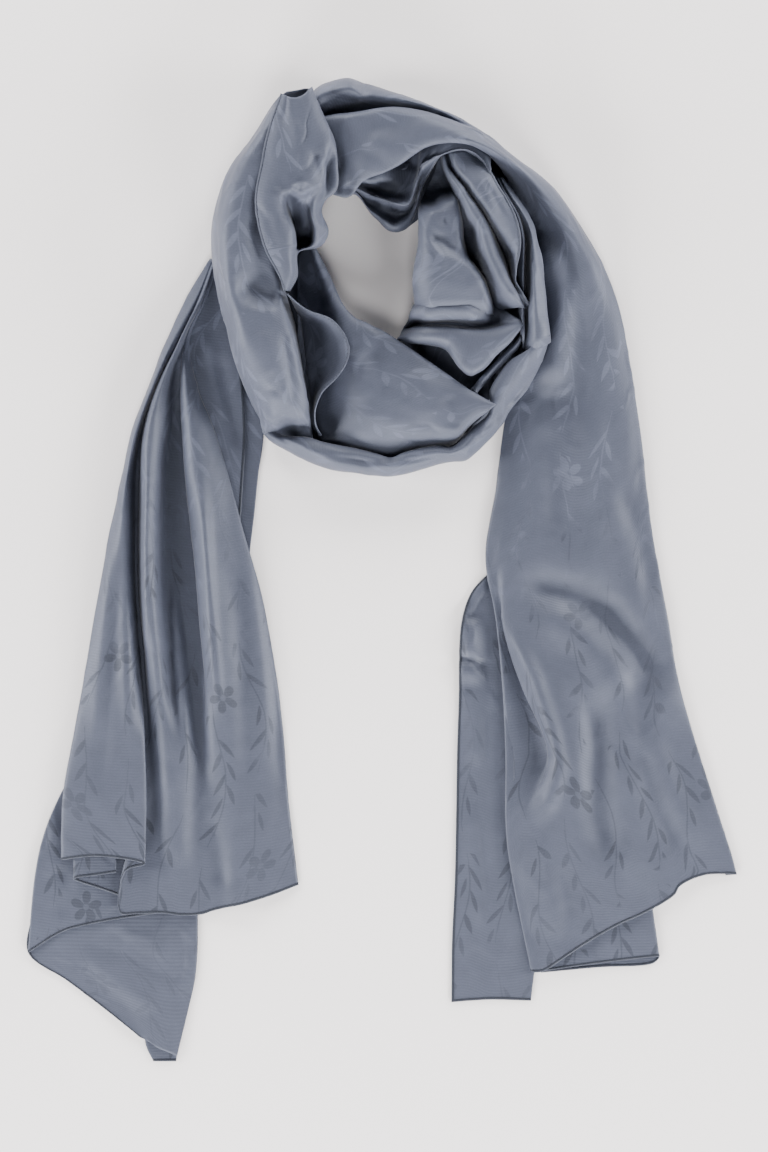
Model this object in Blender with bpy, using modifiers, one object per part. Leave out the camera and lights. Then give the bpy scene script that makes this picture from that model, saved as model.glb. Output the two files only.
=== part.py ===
"""A satin scarf worn as a hijab, wound once into a neck ring and laid flat, seen from above.

The cloth is one rectangle, 700 mm x 1800 mm. Each stretch of it that shows is a wall lofted through
its fold lines. Positions in the tables are millimetres: x to the right, y towards the nape, and
height over the surface, all to the middle of the wall. The ring's hidden layers are one rounded solid.
"""

from collections import namedtuple
from math import ceil, cos, radians, sin

import bmesh
import bpy
import numpy as np
from mathutils import Vector
from mathutils.bvhtree import BVHTree

MM = 0.001
WALL = 1.2  # cloth wall
FLOOR = WALL / 2  # lowest height of a wall's middle, where it rests on the surface
STEP_ALONG = 16.0  # mesh step along the folds
STEP_ACROSS = 7.0  # mesh step across them
CLOTH_COLOUR = (0.22, 0.25, 0.31, 1.0)
CLOTH_ROUGHNESS = 0.45

# across and height hold one value for each ruler, or fewer that are spread evenly over the rulers.
# start and end are how far the cloth runs on before the first ruler and past the last one.
Fold = namedtuple("Fold", "name across height end start", defaults=(0.0, 0.0))


def level(*ys):
    """Rulers laid level: across is x."""
    return [(0.0, y, 1.0, y) for y in ys]


def upright(base, *xs):
    """Rulers laid upright: across is y over the base."""
    return [(x, base, x, base + 1.0) for x in xs]


def turned(x, y, *angles):
    """Rulers turned about a point: across is the distance from it."""
    return [(x, y, x + cos(radians(a)), y + sin(radians(a))) for a in angles]


def shifted(x, *ys):
    """Level rulers that start at x: across is the distance to the right of it."""
    return [(x, y, x + 1.0, y) for y in ys]


def spread(values, count):
    values = np.atleast_1d(np.asarray(values, float))
    return np.interp(np.linspace(0, 1, count), np.linspace(0, 1, len(values)), values)


def net_of(rulers, folds):
    """Points of every fold line: (fold, ruler, xyz)."""
    rulers = np.array(rulers, float)
    start, unit = rulers[:, :2], rulers[:, 2:] - rulers[:, :2]
    onward = start[-1] - start[-2]
    onward = onward / max(np.linalg.norm(onward), 1e-9)
    back = start[0] - start[1]
    back = back / max(np.linalg.norm(back), 1e-9)
    rows = []
    for fold in folds:
        across = spread(fold.across, len(rulers))[:, None]
        row = np.column_stack([start + unit * across, spread(fold.height, len(rulers))])
        row[-1, :2] += onward * fold.end
        row[0, :2] += back * fold.start
        rows.append(row)
    return np.array(rows)


def spline(points, counts):
    """Centripetal Catmull-Rom curve through points (axis 0), counts[i] steps in span i."""
    ends = 2 * points[0] - points[1], 2 * points[-1] - points[-2]
    p = np.concatenate([ends[0][None], points, ends[1][None]])
    knots = np.maximum(np.linalg.norm(np.diff(p, axis=0), axis=-1, keepdims=True), 1e-4) ** 0.5
    rows = []
    for i, count in enumerate(counts):
        a, b, c, d = p[i : i + 4]
        before, here, after = knots[i : i + 3]
        leave = here * ((b - a) / before - (c - a) / (before + here) + (c - b) / here)
        reach = here * ((c - b) / here - (d - b) / (here + after) + (d - c) / after)
        for j in range(count + (i == len(counts) - 1)):
            u = j / count
            rows.append(
                (2 * u**3 - 3 * u**2 + 1) * b
                + (u**3 - 2 * u**2 + u) * leave
                + (3 * u**2 - 2 * u**3) * c
                + (u**3 - u**2) * reach
            )
    return np.array(rows)


def steps(net, axis, step):
    """How many mesh steps each span of the net takes along an axis."""
    lengths = np.linalg.norm(np.diff(net, axis=axis), axis=-1)
    lengths = lengths.mean(axis=1 - axis)
    return [max(1, ceil(length / step - 0.25)) for length in lengths]


def surface(rulers, folds, along=STEP_ALONG, across=STEP_ACROSS):
    """Grid of points (row along, column across, xyz) of a wall's middle, in mm."""
    net = net_of(rulers, folds)
    lines = spline(net.transpose(1, 0, 2), steps(net, 1, along))
    grid = spline(lines.transpose(1, 0, 2), steps(net, 0, across)).transpose(1, 0, 2)
    grid[..., 2] = np.maximum(grid[..., 2], FLOOR)
    return grid


# ---------------------------------------------------------------- left tail
LEFT_TAIL_RULERS = level(203, 180, 150, 120, 90, 60, 25, -15, -60, -105, -150, -187)
LEFT_TAIL = (
    Fold("tuck", (-109, -122, -135, -146, -157, -164, -171, -179, -187, -194, -202, -205),
         (3.6, 0.6, 0.6, 0.6, 0.6, 0.6, 0.6, 0.6, 0.6, 0.6, 3.6, 3.9), 0),
    Fold("outline", (-112, -126, -140, -151.5, -163, -169.5, -177, -184.5, -192.3, -200.3, -207.8,
         -208.4),
         (4.7, 2.6, 2.6, 2.8, 2.8, 2.8, 2.8, 2.8, 2.8, 3.2, 5.2, 5.6), 0.5),
    Fold("pleat 1 crown", (-110.8, -121, -136, -149, -160, -166, -170, -174, -176, -180, -184, -184),
         (4.9, 6, 10, 12, 12, 12, 12, 12, 11.5, 11, 10.5, 10.5), -2),
    Fold("pleat 1 right", (-110.4, -119.5, -134, -147.8, -158, -162.5, -162.8, -162, -158, -154.7,
         -153.6, -154),
         (4.9, 6.5, 9.6, 9, 7, 6, 6, 6.5, 8, 9, 9.8, 10), 3.3),
    Fold("valley 1", (-110, -118.5, -133, -146.8, -156.5, -160, -160.3, -160, -156.5, -156, -160,
         -167.5),
         (4.9, 6, 8, 5, 1.5, 0.6, 0.6, 0.6, 1.5, 3, 6.6, 8), 8),
    Fold("valley 1 tuck", (-109.6, -118, -132, -145.5, -152.5, -154, -154.5, -155.5, -154, -152.5,
         -157, -170.5),
         (4.9, 6, 7.5, 4.5, 1.5, 0.6, 0.6, 0.6, 0.8, 1.5, 4.6, 5.6), 35),
    Fold("pleat 2 left", (-109.2, -117.5, -131.5, -146.3, -155, -157.6, -158, -158.3, -153, -149.5,
         -149, -160),
         (4.9, 6.8, 9, 9, 8, 7.4, 7.4, 6.5, 4.5, 3.4, 4, 6.8), 35.5),
    Fold("pleat 2 crown", (-108.8, -117, -131, -143.5, -151, -153, -153, -152, -146, -141, -140, -143),
         (4.9, 8, 12, 14, 15, 15, 15, 14, 12, 10, 8, 7), 35),
    Fold("pleat 2 flank", (-108.5, -116, -130, -139.5, -142, -143, -143, -141, -134, -129, -130, -131),
         (4.9, 8, 11, 9, 9, 9, 9, 9, 9, 9, 7.5, 6), 36.5),
    Fold("trough 2", (-108.2, -115.5, -129, -136, -136, -135, -133, -129, -124, -122, -120, -118),
         (4.9, 6.5, 8, 3, 1, 0.6, 0.6, 0.6, 1.5, 4.5, 3.4, 2.8), 36),
    Fold("trough 2 tuck", (-107.9, -115, -128, -128.5, -127, -124.5, -120.5, -116.5, -114, -116, -114,
         -110),
         (4.9, 5.5, 6, 3, 1, 0.6, 0.6, 0.6, 1.5, 5, 3.8, 2.4), 33.5),
    Fold("pleat 3 left", (-107.6, -114.8, -128.3, -131, -129.8, -128, -124, -120.3, -116, -112, -107,
         -102),
         (4.9, 5, 6, 7.5, 7.5, 7.5, 7.5, 7.5, 6.5, 8, 5.5, 3.4), 31.5),
    Fold("pleat 3 crown", (-107.2, -114.2, -127.5, -127.5, -124, -121, -117, -112, -107, -103, -97,
         -92),
         (4.9, 5, 7, 12, 14, 15, 15, 14, 13, 10.5, 8, 6), 29.5),
    Fold("pleat 3 middle", (-106.6, -113.6, -126.3, -123.8, -117, -111, -104, -97, -90, -84, -79, -72),
         (4.9, 4.6, 6, 10, 11.5, 12, 12, 11, 9.5, 7.5, 6, 4.4), 23.4),
    Fold("outline right", (-106, -113, -125, -120, -108.8, -99.5, -90, -78.8, -70.4, -64.3, -60.9,
         -54.6),
         (4.9, 4.2, 4.2, 4.2, 4.2, 4.2, 4.2, 2.5, 1.2, 0.9, 0.6, 0.6), 16.8),
)

LEFT_TAIL_LAP_RULERS = level(-178, -188)
LEFT_TAIL_LAP = (
    Fold("upper end", -172.8, 7.4, 7.5),
    Fold("upper middle", -190, 6.6, 10),
    Fold("upper turn", -197.5, 6.0, 11),
    Fold("turn", -200.6, 5.0, 12),
    Fold("lower turn", -197, 4.0, 13.8),
    Fold("lower middle", -185, 3.7, 17.7),
    Fold("lower end", -167, 3.6, 24),
)

LEFT_TAIL_EDGE_RULERS = level(174, 148, 118, 90, 62, 36, 10, -12)
LEFT_TAIL_EDGE = (
    Fold("strip edge", (-98, -90, -80, -77.2, -80.8, -83.4, -86.4, -88), 0.6),
    Fold("strip middle", (-108, -104, -96, -92, -93, -94, -94.5, -95.5), 0.6),
    Fold("turn below", (-117, -119, -115, -110, -104, -101, -99, -98.5), 0.7),
    Fold("turn", (-119, -121, -117, -112, -106, -103, -101, -100.5), 1.5),
    Fold("turn above", (-117, -119, -115, -110, -104, -101, -99, -98.5), 2.3),
    Fold("back layer", (-110, -108, -102, -98, -97, -97, -96.5, -96.5), (2.6, 3, 2.8, 2.3)),
    Fold("long hem", (-100, -95, -90.5, -89, -90.4, -92, -94, -95), (2.6, 2.4, 2.3, 2.2)),
)

LEFT_TAIL_UNDER_RULERS = level(-128, -150, -175, -200, -220)
LEFT_TAIL_UNDER = (
    Fold("outline", (-200, -211.8, -221.3, -226.2, -230.5), (0.6, 0.6, 1.2, 2.1, 2.1), 28),
    Fold("left middle", (-190, -198, -204, -206, -208), (0.6, 0.6, 1.2, 2.1, 2.1), 14.3),
    Fold("middle", (-178, -183, -186, -188, -190), (0.6, 0.6, 1.2, 2.1, 2.1), 9.4),
    Fold("right middle", (-168, -170, -171, -170, -168.7), (0.6, 0.6, 1.2, 2.1, 2.1), 5.6),
    Fold("hidden end", (-160, -158, -154, -150, -146), (0.6, 0.6, 1.2, 2.1, 2.1), 2.2),
)

LEFT_TAIL_CORNER_RULERS = level(-207, -225, -248, -266, -284, -300)
LEFT_TAIL_CORNER = (
    Fold("turned edge", (-222, -228, -230.2, -205, -181, -158), (0.6, 0.6, 0.6, 0.6, 1.2, 2.4), 2.3),
    Fold("left middle", (-195, -199, -203, -183, -168, -151), (0.6, 0.6, 0.6, 0.6, 1.2, 2.4), 6),
    Fold("ridge", (-168, -169, -172, -160, -153, -146), (0.6, 0.6, 1.4, 2.4, 2.6, 2.8), 9.5),
    Fold("fold", (-143, -143, -142, -140, -138, -139), (0.6, 0.6, 1.0, 1.4, 2.2, 2.8), 12.5),
    Fold("right edge", (-120, -119.9, -120.2, -122, -126, -133.5), (0.6, 0.6, 0.6, 0.6, 1.2, 2.4), 15),
)

LEFT_TAIL_TIP_RULERS = level(-299, -309, -318)
LEFT_TAIL_TIP = (
    Fold("left", (-155.4, -153.4, -148.9), 0.6, 0.4),
    Fold("middle", (-146, -143, -141.5), 0.6, 0.4),
    Fold("right", (-138, -133.5, -134), 0.6, 0.4),
)

# ---------------------------------------------------------------- nape and right tail
RIGHT_PIVOT = (30.0, 170.0)
RIGHT_TAIL_RULERS = (
    upright(RIGHT_PIVOT[1], -50, -43, -32, -22, -12, 0, 10)
    + turned(*RIGHT_PIVOT, 90, 75, 60, 45, 30, 15)
    + shifted(RIGHT_PIVOT[0], 170, 130, 90, 50, 10, -30, -75, -120, -160, -185, -194)
)
RIGHT_TAIL = (
    Fold("tuck", (90, 85, 81.5, 81, 90, 95.5, 101, 114, 119, 101, 80, 74, 68, 66, 60, 54, 49, 43, 50,
         54, 56, 56, 58, 71), (22, 24, 24, 25, 30, 33, 33, 33, 32, 12, 5, 3.4, 2, 1, 0.6, 0.6, 0.6,
         2.4, 2.8, 3, 3.2, 3.2, 3.2, 2.4), 64),
    Fold("left edge", (84, 79, 75.5, 74, 83.5, 88.9, 94.2, 107, 111.4, 99.4, 82, 75, 69, 65, 56, 48.3,
         43.5, 37, 43.5, 48, 50, 50, 52, 67), (23, 26, 25.6, 26.6, 31.6, 34.6, 35, 35, 34, 14, 6, 4,
         2.4, 1.2, 1.8, 2, 2, 3, 3.4, 3.6, 3.8, 3.8, 3.8, 3.2), 66),
    Fold("pocket", (82, 77.1, 73.6, 72.1, 81.7, 86.8, 91.8, 104.5, 108.6, 100.6, 87, 80, 74, 71, 62,
         54, 49, 43, 50, 64, 80, 60, 62, 74), (24, 27, 26.8, 27.8, 33.4, 36.3, 37.2, 37.5, 36, 18, 7,
         5, 3.4, 1.6, 3, 4.5, 5, 5, 3.4, 3.4, 3.6, 4.8, 4.8, 3.8), 66),
    Fold("lip", (83, 78, 74.5, 73, 82.5, 87.7, 92.6, 105, 108.8, 103, 93, 87, 82, 77, 70, 63, 58, 51,
         47.5, 61, 77.5, 68, 72, 84), (25, 28, 27.6, 29, 35, 38, 39.3, 39.5, 38.6, 26, 11, 8, 5.6, 3,
         3.5, 6, 7, 7.5, 6, 6.3, 6.5, 6.4, 6, 4.4), 59.8),
    Fold("crest", (88, 83, 80, 79, 87.4, 92, 97.4, 109, 111, 107, 101, 97, 92, 87, 81, 74, 70, 64, 54,
         68, 83, 79, 84, 101.6), (26, 30, 29, 31, 37.6, 40, 41, 41.5, 41, 35, 25, 16, 10, 8, 5, 6.5,
         7.5, 8.5, 8.5, 9, 8.5, 8, 7, 5), 48.1),
    Fold("body 1", (98, 95, 92.4, 93, 98, 103, 108, 116, 113.5, 108.5, 104.5, 102, 100, 94, 92, 87, 83,
         78, 71, 84, 94, 94, 100, 121.8), (26, 30.4, 29.4, 34, 39.4, 41, 41, 41, 39, 35, 29, 22, 16,
         11, 8, 7, 6.5, 8, 9, 9, 7.5, 7.5, 7, 5), 36.4),
    Fold("body 2", (108, 108, 107, 109, 112, 116, 118.6, 121, 116, 110, 107, 106, 106, 102, 103, 101,
         98, 95, 92, 101, 106, 108, 116, 141.6), (26, 30.4, 31, 36, 38.6, 39, 39.4, 38.6, 35, 31, 27,
         22, 17, 12.5, 10.5, 9, 7.5, 8.5, 8.5, 7, 5.5, 6, 6, 4.4), 27.3),
    Fold("body 3", (113, 120, 123.6, 124.6, 126, 127.8, 128.4, 125.4, 117.6, 111, 109, 108.5, 110, 110,
         114, 115, 113, 113, 116, 120, 123, 126, 134, 159.5),
         (25, 29.6, 31.4, 36, 37, 37.4, 37, 35.4, 31.6, 28, 24, 19, 16, 12, 10, 9, 9, 9.5, 5, 9, 9,
         8.5, 7, 4), 16.3),
    Fold("nape crease", (117, 123, 126, 126.8, 128.2, 129.8, 130.3, 127.2, 118.6, 112, 110.6, 110.4,
         113, 116, 122, 126, 127, 129, 133, 138, 140, 143, 150, 163.4),
         (24, 24, 19, 18, 18, 22.4, 25, 26.4, 26, 24, 20, 15, 13, 10, 8, 7.5, 8, 8, 8, 5, 7, 6, 5,
         3.6), 10.4),
    Fold("roll", (123, 136, 140, 141.6, 137.4, 136, 135, 130.4, 120, 112.6, 111.8, 111.4, 115, 120,
         128, 133.5, 137, 141, 144, 151, 158, 162, 170, 179.6),
         (24, 30, 33, 36, 32, 32, 31.6, 28.6, 23, 19, 15, 11, 9, 7.5, 5.5, 5, 5, 5, 5.5, 6.5, 4, 4,
         3.4, 2.4), 3.3),
    Fold("outline", (130.4, 142.6, 147.6, 149.6, 145.8, 142.6, 139.4, 132, 121, 113, 112.6, 112, 116.5,
         124, 131.5, 137.4, 141.9, 147.5, 151.8, 160.8, 175.6, 189, 196.9, 200),
         (16, 18, 19, 20, 20, 20, 20, 18, 14, 11, 8, 5, 4, 3.5, 3, 2.5, 2.5, 2, 2, 1.8, 1.8, 1.6, 1.4,
         1.2), 3),
    Fold("outline foot", (129, 140.6, 145, 147, 143, 140, 137, 129.5, 118.5, 110.5, 109, 108.5, 113,
         121, 128, 134, 138, 143, 147, 156, 170, 183, 190, 193), (0.6,), 3.4),
)

RIGHT_TAIL_UNDER_RULERS = level(-206, -226, -248)
RIGHT_TAIL_UNDER = (
    Fold("lower end", (122, 116, 103), 0.6, 12.8),
    Fold("lower middle", (145, 142, 140), 0.6, 9.4),
    Fold("lower turn", (171, 173.6, 176.3), 0.7, 6.6),
    Fold("turn", (173.6, 176.5, 179.8), 1.5, 2.6),
    Fold("upper turn", (171, 173.6, 176.3), 2.3, 2.6),
    Fold("upper middle", (145, 142, 140), 2.3, 6.8),
    Fold("upper end", (122, 116, 103), 2.3, 12),
)

RIGHT_TAIL_FLAP_RULERS = level(-2, -14, -32, -50, -80, -120, -160, -200, -240, -270)
RIGHT_TAIL_FLAP = (
    Fold("long hem", (68, 57.5, 51.5, 50, 49.6, 48.4, 47.8, 47, 45.2, 44.8), (0.6, 1.4, 0.6, 0.6), 10),
    Fold("ridge", (69, 63, 59, 59, 60, 60, 60, 59, 58, 57),
         (0.6, 2.6, 1.6, 3, 1.6, 0.9, 0.6, 0.6, 0.6, 0.6), 9),
    Fold("dent", (70, 68.5, 67, 68, 72, 76, 76, 75, 73, 72), (0.6, 0.8, 0.8, 0.8, 0.8, 0.9, 0.6), 8.3),
    Fold("hidden end", (80, 84, 90, 95, 103, 108, 108, 104, 101, 96.5), 0.6, 9),
)

# ---------------------------------------------------------------- ring, left side
LEFT_BAND_RULERS = level(
    309.5, 303.6, 296, 281, 262, 245, 225, 205, 185, 160, 146, 135, 127, 112, 100, 94.5, 90.8
)
LEFT_BAND = (
    Fold("foot", (-65, -68.2, -72, -81.2, -94.6, -102, -106.2, -105.9, -102.6, -96.8, -94.5, -92.5,
         -90.2, -84.1, -77.6, -74.2, -71.2), (8, 4, 3, 2, 2, 2, 3, 6, 7, 8, 8, 8, 8, 8, 8, 8, 8),
         -1, -1),
    Fold("outline", (-66, -70.2, -75, -84.2, -98.6, -106, -110.8, -110.5, -107.2, -101.4, -98.5, -95.5,
         -92.6, -86.1, -79, -75.4, -72.2), (13, 10, 11, 12, 12, 12, 12, 12, 13, 14, 14, 14, 14, 13, 12,
         10, 9), -1, -1),
    Fold("side", (-64.8, -68.8, -73.2, -82, -96, -102.6, -107, -106.7, -103.4, -97.8, -95.3, -92.9,
         -90.4, -84.5, -78, -74.6, -71.6), (22, 15, 26, 30, 31, 32, 32, 32, 32, 32, 31, 28, 26, 22, 17,
         12, 9.6), -0.6, -0.6),
    Fold("shoulder", (-62, -66, -71, -78, -89.6, -97, -101, -101, -98, -92, -88.6, -85, -81.6, -74.6,
         -69.6, -67.6, -66.6), (27, 16, 28, 37, 40, 41, 42, 42, 42, 42, 41, 39, 38, 34, 27, 20, 13),
         0, 0.4),
    Fold("crown", (-58, -62, -66.4, -71.4, -79.6, -86.6, -90, -88.6, -85.6, -80, -76, -73, -70.6, -66,
         -62.6, -61.4, -61), (28, 15, 28, 37, 41, 42, 43, 43, 38, 42, 43, 42.4, 41.4, 37, 28, 12, 6),
         0.5, 1),
    Fold("inner crown", (-54, -57.6, -62, -66.4, -73.4, -79.4, -81.4, -77.4, -74.6, -69.6, -65, -62.2,
         -60.2, -56.6, -54, -53.4, -53.6), (28, 15, 28, 36, 40, 40, 40, 40, 37, 41, 41.4, 40.4, 39.4,
         35, 27, 12, 6), 0.6, 1.6),
    Fold("inner edge", (-50, -53.6, -58, -62, -68, -73, -73.6, -69.2, -67.4, -60.8, -57.2, -54.6, -53,
         -50, -47.8, -46.6, -46.2), (27, 15, 27, 35, 38, 38, 37, 36, 35, 37, 36, 34.6, 33, 28, 22, 16,
         12), 0.6, 2.4),
    Fold("valley side", (-48.4, -52.2, -57, -61, -67, -71.4, -71.2, -66.2, -65, -58.8, -55.6, -53.2,
         -51.8, -49.2, -47.2, -46.2, -45.8), (26, 15, 26, 34, 36.4, 36, 33, 30, 27, 26, 25, 24, 23, 20,
         16, 12, 9.4), 0.6, 2.4),
    Fold("valley", (-47.4, -51.2, -56, -60, -66, -70, -69, -64, -63.4, -56.6, -54.2, -52.2, -50.8,
         -48.8, -47, -46, -45.6), (25, 15, 25, 33, 35, 34, 29, 24, 18, 11, 8, 7, 7, 7, 7, 7, 7.4),
         0.6, 2.4),
)

CUFF_RULERS = level(305.4, 291, 277, 262, 247, 239.4, 232, 220, 211, 206, 191, 181)
CUFF = (
    Fold("foot", (-48.4, -40.6, -34.8, -33.5, -33.5, -40.6, -43.2, -40, -43.2, -56, -56.2, -60),
         (34, 34, 33, 33, 33, 25, 23, 22, 20, 20, 20, 24), 0, 4.6),
    Fold("inner side", (-46.5, -38, -32.2, -30.5, -30.9, -38.7, -40.6, -36.3, -40.6, -54.9, -55.3,
         -59.7), (35, 35.6, 34, 34, 34, 27, 25, 24, 22.6, 22, 22, 27), 0, 6),
    Fold("inner edge", (-45.4, -37, -31.1, -29.6, -30.1, -37.6, -39.5, -35.3, -39.5, -54.1, -54.5,
         -59.5), (37.6, 38.4, 37, 36.5, 36, 32, 30, 28, 26, 26, 26, 30), 0, 7.4),
    Fold("tuck", (-47.1, -38.9, -33.5, -35.2, -35.8, -39.7, -41.4, -37.8, -41.7, -54.1, -54.6, -59.5),
         (40, 41, 41, 36, 35.4, 34, 33, 31.6, 29, 30, 30.4, 32), 0, 6),
    Fold("tuck flank", (-49.2, -42.2, -37.1, -38.3, -39.7, -43.5, -44.8, -42.3, -45.2, -54.3, -54.8,
         -59.7), (41.4, 43, 43.4, 42.6, 41, 39, 37.4, 35, 31, 32, 32, 33.6), 0, 3.4),
    Fold("cavity right", (-51.7, -46.5, -43.2, -44.5, -49.7, -51.3, -49.5, -47.8, -48.4, -54.8, -55.2,
         -59.9), (42.2, 44.2, 45, 45.2, 44.4, 31, 21, 16, 16, 33.6, 33, 34.6), 0, 1.4),
    Fold("cavity", (-53.6, -49.7, -48.4, -51, -55.6, -59.7, -58.4, -54.9, -53.9, -55.3, -55.6, -60.2),
         (42.6, 44.8, 45.8, 46.6, 45.4, 33, 22, 15, 14, 35.8, 34.4, 35.6), 0, 0.6),
    Fold("ridge", (-55.6, -53.6, -53, -55.2, -61.4, -64.3, -62.5, -57.9, -56.6, -56.5, -56.5, -61),
         (42.6, 45, 46, 46.6, 47, 45, 44, 43, 42, 40, 38, 36.6), 0, 0),
    Fold("ridge top", (-59.5, -59.5, -60.1, -63.4, -67.5, -69, -67.5, -64, -61.7, -60.4, -59.1, -61.8),
         (42.6, 45, 46, 47, 48, 48, 48, 47, 46, 45, 42, 38), 0, 0.3),
    Fold("crown", (-63, -65.1, -68.2, -71.6, -74.8, -75.1, -74.2, -71.8, -69.5, -67.5, -63.1, -62.7),
         (41, 43, 45, 46, 47, 47.6, 47.6, 47, 46, 45, 42.6, 38.6), 0, 1.8),
    Fold("hem", (-65.6, -72.1, -76.1, -78.7, -81.7, -82.4, -82, -79.6, -77, -75.3, -67.4, -63.8),
         (38, 39.4, 41.4, 42.4, 43, 43.4, 43.4, 43, 42.4, 42, 40.4, 39), 0, 3),
)

# Rulers from the foot of the standing edge, in the valley, to its hem.
INNER_MARGIN_RULERS = (
    (-60.1, 176.9, -61.4, 179.2), (-56.5, 170, -54.3, 172.6), (-52.7, 163.5, -47.1, 168),
    (-51.8, 157, -34.1, 163.5), (-51, 150.5, -27.6, 157.6), (-50.4, 144, -23.1, 150.5),
    (-49.7, 136.8, -21.1, 142.7), (-48.9, 129.7, -23.1, 134.2), (-48, 121.9, -27.9, 126.4),
    (-47.1, 114.1, -37.4, 116.7), (-46, 106.9, -41.9, 109.5), (-44.8, 100.4, -43.7, 102.6),
    (-43.4, 93.7, -42.8, 94.6), (-40.9, 87.8, -39.3, 88.1),
)
INNER_MARGIN = (
    Fold("foot", 0.0, (22, 13, 10, 9, 9, 9, 9, 9, 9, 9, 9, 9, 9, 9)),
    Fold("wall", (0.1, 0.1, 0.1, 0.1, 0.1, 0.1, 0.1, 0.1, 0.2, 0.2, 0.3, 0.4, 0.5, 0.5),
         (26, 17, 12.4, 11.4, 11, 11, 11, 11, 11.4, 12, 12, 11, 11, 10)),
    Fold("slope", 0.5, (32, 25, 21, 19, 18, 18, 18, 18, 18.6, 19, 18, 15, 13, 11)),
    Fold("lip", 0.85, (36, 33, 31.6, 30, 29, 28.6, 28.6, 28.6, 28.6, 27.6, 25, 21, 17, 12.6)),
    Fold("hem", 1.0, (38, 36, 35.4, 34.6, 34.4, 34, 33.6, 33, 32, 30, 27.4, 23.6, 19, 14)),
)

# ---------------------------------------------------------------- ring, front
# Rulers from the inner edge of the stretch to the crease under the roll.
FRONT_BAND_RULERS = (
    (-45.8, 213.1, -53.6, 207), (-40.2, 202.5, -53.9, 201.2), (-33.5, 189, -54.7, 188.2),
    (-25.4, 171.5, -54.3, 164.8), (-19.8, 164.8, -51.7, 121.9), (-9.4, 160, -36.7, 85.2),
    (1, 155, -15, 80.7), (11.4, 148.5, 4.9, 75.7), (25.7, 138.4, 17.9, 79.2),
    (38.4, 129.3, 32.8, 81.3), (53.6, 119.3, 46.5, 83.5), (64, 113, 57.5, 95),
    (73.1, 107.8, 67.3, 102.4),
)
FRONT_BAND = (
    Fold("foot", (0.2, 0.2, 0.1, 0.1, 0.1, 0), (3, 3, 3, 3, 3, 3, 3, 3, 9, 13, 18, 21, 23.4)),
    Fold("side", (0.1, 0, 0, 0), (8, 11, 12, 12, 12, 12, 12, 12, 14, 16.4, 20, 22, 24)),
    Fold("inner edge", 0.0, (12, 15, 16, 17, 18, 19, 19, 19, 20, 21.6, 22.8, 23.6, 24.6)),
    Fold("crown", (0.2, 0.2, 0.1), (14.6, 18, 18, 18, 21, 23.4, 24, 24, 24.6, 25, 25.4, 25.8, 26)),
    Fold("middle", (0.5, 0.4, 0.4), (12, 12, 10, 9, 13, 23, 26, 26, 26.4, 26.6, 26.8, 26.6, 26)),
    Fold("slope", (0.8, 0.7, 0.7), (8, 7, 6, 5, 7, 14, 24, 24.6, 25, 26, 26, 25.4, 25.6)),
    Fold("crease side", 0.93, (6, 5, 4.4, 4.2, 4.6, 9, 17, 15, 17, 18.4, 19.6, 22, 24.6)),
    Fold("crease", 1.04, (5, 4.4, 4, 4, 4, 6.6, 8.5, 8.5, 8.5, 8.5, 10, 18, 23.6)),
)

# Rulers from the roll's lip to its outline.
FRONT_ROLL_RULERS = (
    (108, 152.8, 108.5, 151.5), (99.1, 146.8, 105.6, 142), (90.7, 140.9, 100.8, 131),
    (82.6, 135.8, 92, 116), (75.1, 126.7, 82.9, 104.3), (69.2, 116.7, 77.7, 95.9),
    (69.9, 106.5, 72.5, 89.4), (67.3, 100.7, 66.4, 83.5), (58.6, 92.9, 59.9, 77.3),
    (51.7, 85.2, 53.6, 72.5), (45.6, 80.5, 45.2, 71.8), (36.1, 81.1, 37.4, 70.8),
    (24.4, 79.4, 25, 68.8), (13.3, 77, 13.3, 66.6), (5.5, 74.2, 4.2, 65.1),
    (-2.9, 76.4, -5.5, 65.3), (-14.6, 79.2, -17.9, 66.9), (-27.6, 81.4, -30.9, 69.5),
    (-38.7, 83.5, -44.5, 73.8), (-49.7, 86.8, -55.8, 79), (-58.8, 87.4, -65.6, 84.3),
    (-65.7, 88.7, -71.6, 87.8),
)
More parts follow.
